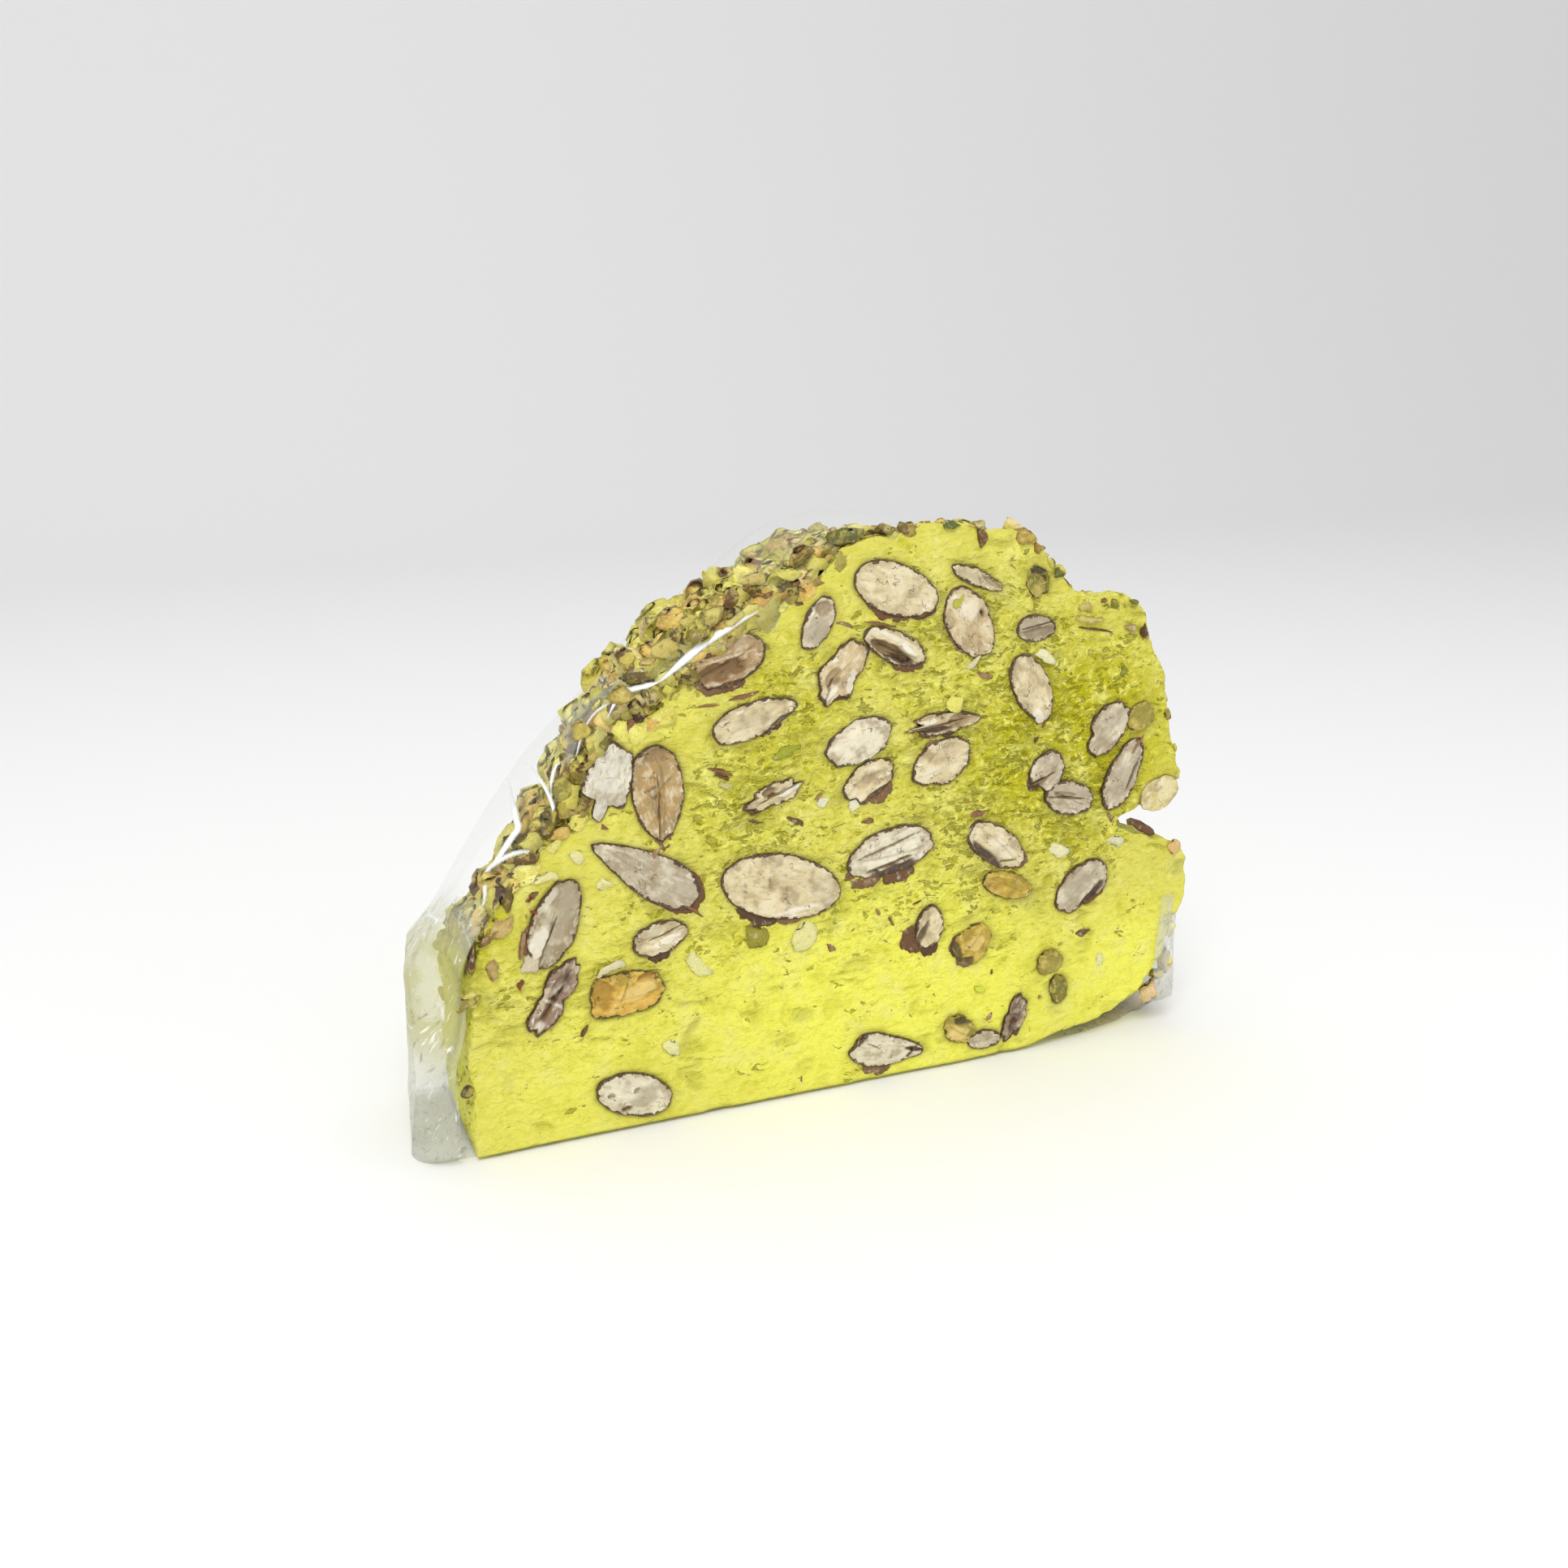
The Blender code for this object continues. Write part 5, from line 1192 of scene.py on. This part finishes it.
# A plate: rings of eight points set along an arc of the nut's rim, closed to a point at both
# ends; its width swells between them and its outer side is torn by noise
def buildPlates(finish):
    points, faces, colours = [], [], []
    form = skinPlates
    arc = np.linspace(0, 2 * math.pi, 8, endpoint=False)
    for k, (name, first, last, width) in enumerate(form["places"]):
        cut = {**almondCuts, **pistachioCuts}[name]
        px, pz, length, breadth, turned, taper = cut[:6]
        share = np.linspace(0, 1, form["steps"])[1:-1]
        around = np.radians(first + (last - first) * share)
        c, s = math.cos(math.radians(turned)), math.sin(math.radians(turned))
        across, up = np.cos(around), np.sin(around)
        local = np.arctan2((up * c - across * s) / breadth, (across * c + up * s) / length)
        swell = rimSwell(name, cut, local)
        u = length / 2 * np.cos(local) * swell
        v = breadth / 2 * np.sin(local) * (1 - taper * np.cos(local)) * swell
        rim = np.stack([px + u * c - v * s, pz + u * s + v * c], axis=1)
        spots = np.stack([rim[:, 0], rim[:, 0] * 0 + 9 * k, rim[:, 1]], axis=1)
        torn = 1 + 0.55 * layeredNoise(spots, 1.1, 3, 0.7, 75)
        broad = width * np.sin(math.pi * share) ** 0.45 * torn
        out = np.stack([across, up], axis=1)
        middle = rim + out * (broad * 0.42)[:, None]
        ring = middle[:, None] + out[:, None] * (0.62 * broad[:, None] * np.cos(arc))[..., None]
        y = slab["front"] + 0.35 - form["thick"] * np.sin(arc) - 0.10 * broad[:, None] * np.cos(arc)
        y = y + 0.22 * layeredNoise(np.stack([ring[..., 0], y, ring[..., 1]], -1), 0.9, 2, 0.6, 76)
        body = np.stack([ring[..., 0], y, ring[..., 1]], axis=-1).reshape(-1, 3)
        ends = np.array([[*rim[0], 0], [*rim[-1], 0]])[:, [0, 2, 1]] + [0, slab["front"] + 0.2, 0]
        start = sum(len(p) for p in points)
        points.append(np.vstack([body, ends]))
        rows = len(share)
        faces += [gridFaces(rows, 8, wrapped=True, start=start),
                  fanFaces(start + rows * 8, start, 8, flip=True),
                  fanFaces(start + rows * 8 + 1, start + (rows - 1) * 8, 8)]
        colours.append(np.tile(tint(*form["colours"][k % 3]), (len(points[-1]), 1)))
    points = np.vstack(points)
    points[:, 2] = np.maximum(points[:, 2], slab["underside"] + 0.1)
    print("skin plates:", len(form["places"]))
    makePiece("skin_plates", points, faces, finish, {"skinSide": np.zeros(len(points))}, None,
              {"tint": np.vstack(colours)})


# The crust of chopped nuts

# Each kind: how many, how many of them in the face's rim, largest and smallest size, half sizes
# as shares, colours and its skin
crustKinds = {
    "crust_almond_bits": {"count": 620, "rim": 14, "size": (8.4, 2.7), "half": (0.56, 0.40, 0.34),
                          "skin": (116, 84, 54),
                          "tints": [(224, 190, 104), (230, 200, 124), (208, 168, 86), (232, 214, 148)]},
    "crust_pistachio_bits": {"count": 290, "rim": 7, "size": (7.4, 2.6), "half": (0.56, 0.38, 0.32),
                             "skin": (78, 66, 44),
                             "tints": [(150, 134, 54), (126, 112, 46), (164, 148, 64), (108, 96, 42)]},
    "crust_nougat_bits": {"count": 670, "rim": 18, "size": (8.8, 3.0), "half": (0.52, 0.46, 0.36),
                          "skin": (160, 150, 66),
                          "tints": [(224, 217, 106), (232, 225, 130), (208, 199, 92)]},
    "crust_skin_bits": {"count": 190, "rim": 6, "size": (5.6, 2.0), "half": (0.54, 0.38, 0.18),
                        "skin": (84, 60, 44), "tints": [(114, 84, 58), (94, 70, 52), (136, 104, 68)]},
}
# How thickly they lie, along the ring's four edges: share at even steps of each edge
crustShares = {"left": [0.0, 0.02, 0.04, 0.2, 0.8, 1.0, 1.1, 1.2],
               "top": [1.2, 1.5, 2.0, 1.9, 1.1, 0.3, 0.14, 0.14, 0.14, 0.12, 0.12],
               "faceTop": [1.6, 1.7, 1.6, 1.1, 0.5, 0.18, 0.12, 0.12, 0.12, 0.12, 0.12],
               "right": [0.1, 0.1, 0.08, 0.06, 0.12, 0.12, 0.12, 0.15], "bottom": [0, 0]}

rimReach = 4.5  # millimetres that cut pieces of the crust lie inside the face's outline
crustHeap = 4.2  # millimetres that the upper pieces are heaped over the lower ones
# Steps of the even spread: 1 / p^2 round the ring and 1 / p into the depth, with p = 1.3247
ringStep, depthStep = 0.5698, 0.7549


# The share at each ring point, eased between the named steps of its edge; the top edge's steps are
# those of the heap or those of the face's rim
def ringShares(top="top"):
    across, upward = nougatShape["across"], nougatShape["upward"]

    # One edge's steps, in straight lines between them
    def along(key, count):
        steps = crustShares[key]
        return np.interp(np.linspace(0, len(steps) - 1, count), np.arange(len(steps)), steps)

    return np.concatenate([along("left", upward), along(top, across), along("right", upward)[::-1],
                           along("bottom", across)])


# Even spread over ring and depth by an additive two-way sequence, largest first. The first rows
# of each kind lie in the face's rim instead, up to rimReach inside the outline. The deep value
# falls with the height over the ring, and where few pieces lie
def buildCrust():
    shares = ringShares()
    total = np.cumsum(shares) / shares.sum()
    faceShares = ringShares("faceTop")
    rimShares = np.clip(faceShares - 0.35, 0, None) ** 0.7
    rimTotal = np.cumsum(rimShares) / rimShares.sum()
    rings = np.stack([nougatRing(y) for y in np.linspace(slab["front"], slab["back"], 35)])
    normals = np.stack([outward(ring) for ring in rings])
    allCuts = {**almondCuts, **pistachioCuts}
    for k, (name, kind) in enumerate(crustKinds.items()):
        rng = np.random.default_rng(100 + k)
        count, rim = kind["count"], kind["rim"]
        n = np.arange(count)
        onRim = n < rim
        inRim = np.searchsorted(rimTotal, (0.13 + (n * len(crustKinds) + k) * ringStep) % 1)
        inHeap = np.searchsorted(total, (0.31 + 0.23 * k + n * ringStep) % 1)
        along = np.where(onRim, inRim, inHeap)
        i = np.minimum(along, len(shares) - 1)
        spread = (0.17 + 0.37 * k + n * depthStep + rng.uniform(0, 0.16, count)) % 1
        depth = np.where(onRim, 0.0, spread)
        row = np.minimum((depth * 34).astype(int), 33)
        ring, normal = rings[row, i], normals[row, i]
        largest, smallest = kind["size"]
        size = np.where(onRim, rng.uniform(0.3 * largest + 0.5, largest * 0.95, count),
                        largest + (smallest - largest) * np.linspace(0, 1, count))
        size = size * np.clip(0.5 + 0.6 * shares[i], 0, 1)
        half = size[:, None] * np.array(kind["half"]) * rng.uniform(0.7, 1.3, (count, 3))
        heaped = np.clip(shares[i] - 1.2, 0, 0.8) / 0.8 * smoothStep(depth, 0.0, 0.25)
        heap = heaped * crustHeap * rng.random(count)
        out = half[:, 2] * rng.uniform(-0.3, 0.4, count) + heap
        inside = rimReach * np.clip(faceShares[i] / 1.6, 0, 1) * rng.random(count) ** 1.3
        out = np.where(onRim, -inside - 0.2 * half[:, 2], out)
        spot = ring + normal * out[:, None]
        behind = slab["front"] + 0.3 + depth * (slab["back"] - slab["front"] - 0.6)
        y = np.where(onRim, slab["front"] + 0.25 * size, behind)
        blocked = onRim & (nearestNut(spot[:, 0], spot[:, 1], allCuts) < 0.35 * size)
        forms, faces = chunkForms(count, "crust", rng)
        lean = np.arctan2(normal[:, 0], normal[:, 1])
        angles = np.stack([rng.uniform(0, 2 * math.pi, count), rng.uniform(-0.5, 0.5, count), -lean], axis=1)
        up = 0.5 * forms[..., 2] + 0.85 * forms[..., 0]
        points = placeForms(forms, half, angles, np.stack([spot[:, 0], y, spot[:, 1]], axis=1))
        push = [noiseAt(points, 2.4, 81 + k + 7 * axis) for axis in range(3)]
        points += 0.14 * size[:, None, None] * np.stack(push, -1)
        high = ((points[..., [0, 2]] - ring[:, None]) * normal[:, None]).sum(-1)
        thickly = np.clip(0.3 + 0.7 * shares[i], 0, 1)[:, None]
        # painted shade, darker the lower a point lies in the heap and less where few pieces lie
        deep = np.where(onRim[:, None], 0.1, (1 - smoothStep(high, -0.8, 2.4)) * thickly)
        flat = 0.18 * noiseAt(points, 2.0, 91)
        points[..., 1] = np.clip(points[..., 1], slab["front"] - 0.25 + flat, slab["back"] + 0.2 + flat)
        points[..., 2] = np.maximum(points[..., 2], slab["underside"] + 0.1)
        tints = np.array([tint(*c) for c in kind["tints"]])[rng.integers(0, len(kind["tints"]), count)]
        tints = tints * rng.uniform(0.95, 1.28, (count, 1))
        skinned = np.where(rng.random(count) < 0.45, 1.0, 0.0)[:, None]
        skinSide = smoothStep(up, 0.25, 0.7) * skinned
        points, skinSide, tints, deep = [a[~blocked] for a in (points, skinSide, tints, deep)]
        perForm = points.shape[1]
        piece = makePiece(name, points.reshape(-1, 3), repeatFaces(faces, len(points), perForm),
                          chopFinish(name, kind["skin"], paste=0.85, creviceShade=0.35),
                          {"skinSide": skinSide.reshape(-1), "deep": deep.reshape(-1)}, None,
                          {"tint": np.repeat(tints, perForm, axis=0)})
        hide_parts("nougat")
        print("crust:", name, len(points))


# The film

# Outline of the film, clockwise from its lower left corner: x, height, how far it has drawn in at
# the back, and how far its front hem turns in over the crust. It is bare from the crown's middle
# to the lower right
filmShape = {
    "fold": [(-90.6, 0.1, 8.6, 8.6), (-90.9, 14, 8.6, 8.2), (-91.0, 27, 8.6, 11.0),
             (-90.4, 35.6, 8.2, 10.0), (-84.6, 46, 10, 7.6), (-75.8, 57.4, 9.0, 7.0),
             (-66.8, 67.4, 7.6, 5.4), (-61.7, 75.4, 9.0, 4.0)],
    "slope": [(-55.6, 82.2, 9.6, 3.4), (-46.4, 87.6, 7.6, 2.9), (-36.3, 92.4, 3.6, 2.7),
              (-20.3, 102.5, 2.8, 2.6), (-8.3, 110.1, 2.0, 1.6), (4, 113.7, 2.0, 0.8)],
    "crown": [(15, 114.6, 2.4, 0), (27, 113.6, 4.6, 0), (37, 110, 5, 0), (44, 105, 5, 0), (50, 99.6, 4.5, 0),
              (63, 99.4, 4, 0), (70, 95, 3.5, 0), (73, 87, 3, 0)],
    "right": [(76.5, 75, 2.5, 0), (79, 61, 2.5, 0), (80.3, 48, 2.5, 0), (81.4, 36, 2.5, 7.0),
              (82.0, 24, 2.2, 9.0), (82.2, 10, 2.0, 10.0), (80.5, 2.6, 1.5, 6.0), (76, 0.1, 1, 0)],
    "bottom": [(76, 0.1, 1, 0), (40, 0.1, 0, 0), (0, 0.1, 0, 0), (-40, 0.1, 2, 0),
               (-90.6, 0.1, 8.6, 8.6)],
    "fallPower": 1.1, "fine": 0.40, "coarse": 1.3, "bareX": 6.0, "bareHeight": 31.0,
    "lipRows": 26, "sideRows": 40, "backRows": 20, "hub": (-4.0, 46.0), "wall": 0.07,
    "hem": -17.75, "hemUnder": -15.0, "hemRight": -9.5, "lipEnd": -8.5, "back": 18.2,
}
# Creases as they show on the cut face's plane: width, strength (a painted highlight above 0,
# painted shade below) and points, which a smooth curve runs through; they thin out towards their ends
filmCreases = [
    (0.72, 1.0, [(-22.0, 97.6), (-27.4, 95.2), (-32.2, 92.8), (-37.0, 89.4), (-40.4, 86.8), (-42.6, 85.6)]),
    (0.50, 1.0, [(-39.6, 86.6), (-42.4, 85.9), (-45.2, 85.6), (-48.0, 85.0), (-49.6, 83.4), (-51.2, 80.6)]),
    (0.30, 0.8, [(-46.8, 85.4), (-48.6, 85.8), (-49.6, 84.8)]),
    (0.28, 0.6, [(-44.4, 86.6), (-48.0, 86.2), (-52.0, 85.0), (-56.4, 80.6), (-59.4, 76.0)]),
    (0.28, 0.6, [(-47.0, 84.2), (-52.6, 82.4), (-55.6, 79.0), (-57.2, 74.2), (-58.0, 70.2)]),
    (1.6, -0.8, [(-45.5, 86.6), (-51.7, 85.6), (-54.8, 83), (-57.9, 78.9), (-58.8, 73.8), (-61.1, 72.6)]),
    (0.35, 0.8, [(-67.4, 74.3), (-65.5, 73.1), (-62.8, 68.3), (-61.6, 64.5), (-61.1, 61.4), (-60.9, 56.9)]),
    (0.35, 0.75, [(-58.8, 73.8), (-61.1, 72.6), (-62, 69.7), (-62, 67.5)]),
    (0.55, 0.95, [(-69.7, 71.3), (-68.6, 63.8), (-68.2, 62.3), (-69.4, 60.9), (-71.6, 58.0), (-74.7, 54.5)]),
    (0.45, 0.75, [(-60.9, 56.9), (-65.4, 57.4), (-68.4, 57.8), (-71.3, 57), (-74.4, 54.9),
                  (-75, 49.7), (-77, 45.5)]),
    (0.35, 0.5, [(-82.3, 54.9), (-80.4, 49), (-78.5, 44.2), (-77.6, 38), (-79.3, 27.4),
                 (-82, 17), (-84, 8)]),
    (0.8, -0.5, [(-86, 44), (-82, 40), (-80.2, 34), (-81, 26), (-84, 16), (-85.5, 8)]),
    (0.30, 0.8, [(-85.8, 50.5), (-83.6, 47.6), (-81.6, 47.4)]),
    (0.30, 0.8, [(-86.5, 49), (-83.6, 47.6), (-84.6, 46.2)]),
    (0.35, 0.6, [(-84.6, 33), (-83.4, 30), (-84.2, 26.5)]),
    (0.35, -0.7, [(-82.4, 24.5), (-83.2, 20.0), (-85.6, 16.5)]),
    (0.4, 0.7, [(-45.0, 92.2), (-47.0, 90.2), (-46.4, 88.2)]),
    (0.3, 0.6, [(-52.8, 88.5), (-51.6, 86.8)]),
    (0.5, -0.6, [(-79, 19), (-80.4, 15), (-81.6, 9), (-82.6, 4)]),
    (0.45, 0.55, [(-80.4, 16), (-81.6, 11), (-82.8, 6)]),
]


# Distance in a plane from points to a line of short runs, and how far along it they lie, 0 to 1
def alongLine(spots, line):
    best, share = np.full(len(spots), 1e3), np.zeros(len(spots))
    for k, (a, b) in enumerate(zip(line, line[1:])):
        t = np.clip(((spots - a) @ (b - a)) / ((b - a) @ (b - a)), 0, 1)
        far = np.linalg.norm(spots - a - t[:, None] * (b - a), axis=1)
        share = np.where(far < best, (k + t) / (len(line) - 1), share)
        best = np.minimum(best, far)
    return best, share


# Rows from the turned-in hem back along the wrapped part of the ring, then the back sheet as
# rings that shrink to a hub
def filmMesh():
    form = filmShape
    first = smoothCurve(form["fold"] + form["slope"] + form["crown"][:1], int(185 / form["fine"]))
    second = smoothCurve(form["crown"] + form["right"], int(150 / form["coarse"]))
    third = smoothCurve(form["bottom"], 120 - (len(first) + len(second) + 1) % 3)
    rows = np.vstack([first[:-1], second[:-1], third[:-1]])
    rows = rows[:len(rows) - len(rows) % 3]
    bare = (rows[:, 0] > form["bareX"]) & (rows[:, 1] > form["bareHeight"])
    rows = np.roll(rows, -int(np.flatnonzero(bare)[-1]) - 1, axis=0)
    wrapped = int((~bare).sum())
    ring0, fall, lip = rows[:, :2], rows[:, 2], rows[:, 3]
    normal = outward(ring0)
    under = 1 - smoothStep(ring0[:, 1], 0.3, 2.0)
    hem = form["hem"] + (form["hemUnder"] - form["hem"]) * under
    right = smoothStep(ring0[:, 0], 42, 78) * (1 - smoothStep(ring0[:, 1], 0.5, 6))
    hem = hem + (form["hemRight"] - hem) * right
    spots = np.stack([ring0[:, 0], ring0[:, 1], 0 * fall], axis=1)
    hem = hem + 0.15 * noiseAt(spots, 6.0, 51) + right * 3.0 * noiseAt(spots, 11.0, 52)

    # The ring at depths y: drawn in by its fall and its hem's inward share, and rippled by noise
    def section(y, inward):
        drawn = np.maximum((y - slab["front"]) / (slab["back"] - slab["front"]), 0) ** form["fallPower"]
        ring = drawIn(ring0, fall * drawn + lip * inward)
        spots = np.stack([ring0[:, 0], y, ring0[:, 1]], axis=1)
        ripple = 0.7 * layeredNoise(spots * [1, 0.55, 1], 9.0, 3, 0.55, 53) - 0.3
        loose = smoothStep(ring[:, 1], 0.5, 5) * (1 - smoothStep(y, slab["back"] - 4, slab["back"]))
        ring = ring + normal * (ripple * loose)[:, None]
        ring[:, 1] = np.maximum(ring[:, 1], 0.06)
        return np.stack([ring[:, 0], y, ring[:, 1]], axis=1)

    wrap = [section(hem + (form["lipEnd"] - hem) * share ** 2.2, (1 - share) ** 1.6)
            for share in np.linspace(0, 1, form["lipRows"])]
    wrap += [section(np.full(len(rows), y), 0)
             for y in np.linspace(form["lipEnd"], form["back"], form["sideRows"])[1:]]
    backRing = wrap[-1]
    points = [np.stack([row[:wrapped] for row in wrap]).reshape(-1, 3), backRing[wrapped:]]
    faces = [gridFaces(len(wrap), wrapped)]
    fine = np.concatenate([(len(wrap) - 1) * wrapped + np.arange(wrapped),
                           len(points[0]) + np.arange(len(points[1]))])
    start = len(points[0]) + len(points[1])
    hub = np.array([form["hub"][0], form["back"], form["hub"][1]])
    count = len(fine) // 3
    last = None
    for k in range(1, form["backRows"]):
        share = 1 - k / form["backRows"]
        row = hub + (backRing[::3] - hub) * share
        row[:, 1] += 0.35 * noiseAt(row, 14.0, 55) * smoothStep(1 - share, 0, 0.15) - 0.2 * (1 - share)
        ids = start + (k - 1) * count + np.arange(count)
        points.append(row)
        if last is None:
            faces += thinRing(fine, ids)
        else:
            faces.append(np.stack([last, np.roll(last, -1), np.roll(ids, -1), ids], axis=1))
        last = ids
    points.append(hub[None] - [0, 0.2, 0])
    pole = np.full(count, start + (form["backRows"] - 1) * count)
    faces.append(np.stack([last, np.roll(last, -1), pole], axis=1))
    return np.vstack(points), faces


# From a ring to one that keeps every third point: four triangles for each kept point
def thinRing(fine, coarse):
    ends = np.append(fine, fine[0])
    a, b, c, d = ends[0:-1:3], ends[1:-1:3], ends[2:-1:3], ends[3::3]
    return [np.stack(corners, axis=1) for corners in
            ((a, b, coarse), (b, c, coarse), (c, d, coarse), (d, np.roll(coarse, -1), coarse))]


# The film with its crease values, a bell curve across each crease that narrows at its ends and
# gives painted highlight or painted shade, its haze in the lower left fold and lower right corner,
# and a thin wall
def buildFilm():
    points, faces = filmMesh()
    seen = seenOnFace(points)
    nearSide = points[:, 1] < slab["back"] - 1
    creaseAndLight = np.zeros(len(points))
    for width, strength, line in filmCreases:
        far, share = alongLine(seen, smoothCurve(line, 20))
        ends = smoothStep(np.minimum(share, 1 - share), 0, 0.35)
        profile = np.exp(-(far / (width * (0.4 + 0.6 * ends))) ** 2) * nearSide * (0.5 + 0.5 * ends)
        if strength < 0:
            profile = profile * (1 - smoothStep(points[:, 1], -10, 0) * smoothStep(points[:, 2], 58, 66))
        creaseAndLight = np.where(np.abs(profile * strength) > np.abs(creaseAndLight), profile * strength, creaseAndLight)
    low = smoothStep(-points[:, 0], 74, 82) * (1 - smoothStep(points[:, 2], 40, 56))
    low *= 0.3 + 0.7 * smoothStep(points[:, 2], 14, 28)
    corner = smoothStep(points[:, 0], 44, 66) * (1 - smoothStep(points[:, 2], 22, 36))
    # partly the film's haze, partly painted light: the corner's film is hazier still where it lies low in
    # shade by the floor
    corner *= 1 - 0.55 * smoothStep(points[:, 2], 0.5, 5)
    haze = np.clip(low + corner, 0, 1) * nearSide
    inward = np.sign(creaseAndLight) * np.abs(creaseAndLight) * 0.35
    points[:, 0] -= inward * 0.7 * (points[:, 0] < 0)
    piece = makePiece("film_sheet", points, faces, filmFinish(),
                      floats={"creaseAndLight": creaseAndLight, "haze": haze})
    wall = piece.modifiers.new("wall", "SOLIDIFY")
    wall.thickness = filmShape["wall"] * mm
    wall.offset = -1
    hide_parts("film")
    print("film:", len(points), "points")


# Stage, light and camera

stageLook = {"halfWidth": 4.0, "near": -1.4, "bend": 0.9, "radius": 0.5, "height": 1.6,
             "ambient": 0.66, "lightAim": (0.0, 0.0, 0.05)}


# The floor's profile runs towards the back, bends upwards in a quarter circle and rises
def buildStage():
    s = stageLook
    arc = np.linspace(0, math.pi / 2, 16)
    profile = [(s["near"], 0.0)]
    profile += [(s["bend"] + s["radius"] * math.sin(a), s["radius"] * (1 - math.cos(a))) for a in arc]
    profile.append((s["bend"] + s["radius"], s["height"]))
    y, z = np.array(profile).T
    left = np.stack([np.full_like(y, -s["halfWidth"]), y, z], axis=1)
    right = left * [-1, 1, 1]
    points = np.stack([left, right], axis=1).reshape(-1, 3)
    mesh = bpy.data.meshes.new("floor")
    mesh.from_pydata(points.tolist(), [], gridFaces(len(y), 2).tolist())
    mesh.polygons.foreach_set("use_smooth", [True] * len(mesh.polygons))
    mesh.materials.append(floorFinish())
    floor = bpy.data.objects.new("floor", mesh)
    bpy.context.scene.collection.objects.link(floor)


# Soft boxes: where each stands and aims, its size in metres and its power in watts
lightBoxes = {
    "key": {"spot": (-0.35, -0.62, 0.85), "size": (0.5, 0.4), "power": 5.5},
    "fill": {"spot": (0.75, -0.6, 0.45), "size": (0.6, 0.6), "power": 0.8},
    "top": {"spot": (0.0, 0.25, 0.95), "size": (0.9, 0.6), "power": 1.2},
}


# The soft boxes, each turned to the aim, and an even white surround
def buildLight():
    aim = np.array(stageLook["lightAim"])
    for name, box in lightBoxes.items():
        light = bpy.data.lights.new(name, "AREA")
        light.shape = "RECTANGLE"
        light.size, light.size_y = box["size"]
        light.energy = box["power"]
        lamp = bpy.data.objects.new(name, light)
        bpy.context.scene.collection.objects.link(lamp)
        lamp.location = box["spot"]
        lamp.rotation_euler = aimed(aim - np.array(box["spot"]))
    world = bpy.data.worlds.new("studio")
    bpy.context.scene.world = world
    world.use_nodes = True
    world.node_tree.nodes["Background"].inputs["Color"].default_value = (1, 1, 1, 1)
    world.node_tree.nodes["Background"].inputs["Strength"].default_value = stageLook["ambient"]


# Turn that points a camera's or lamp's -Z along a direction, with its Y up
def aimed(direction):
    x, y, z = direction
    return (math.atan2(math.hypot(x, y), -z), 0, math.atan2(-x, y))


# The camera at its spot, its lens as long as the sensor is wide times the focal share
def buildCamera():
    lens = bpy.data.cameras.new("photo_view")
    lens.sensor_width = camera["sensor"]
    lens.lens = camera["sensor"] * camera["focalShare"]
    lens.clip_start = 0.01
    view = bpy.data.objects.new("photo_view", lens)
    bpy.context.scene.collection.objects.link(view)
    view.location = (cameraSpot + shift) * mm
    view.rotation_euler = aimed(-towardsCamera)
    bpy.context.scene.camera = view
    bpy.context.scene.view_settings.view_transform = "Standard"


buildCamera()
buildStage()
buildLight()
print("camera, stage and lights")
buildNougat()
almondFinish = nutFinish("almond")
buildNuts(almondCuts, almondFinish, "almond")
buildNuts(pistachioCuts, nutFinish("pistachio"), "pistachio")
buildNuts(backCuts, almondFinish, "almond", side=1)
skinFinish = chopFinish("skin_flakes", (84, 56, 52), 0.5)
buildPlates(skinFinish)
buildFaceBits("loose_skins", looseSkins, skinFinish)
buildFaceBits("face_chips", faceChips, chopFinish("face_chips", (120, 96, 60), creviceShade=0.18))
rimFinish = chopFinish("rim_pieces", (96, 70, 48), paste=0.45)
buildFaceBits("rim_pieces", rimPieces, rimFinish)
buildFaceBits("corner_pieces", cornerPieces, rimFinish)
buildCrust()
buildFilm()
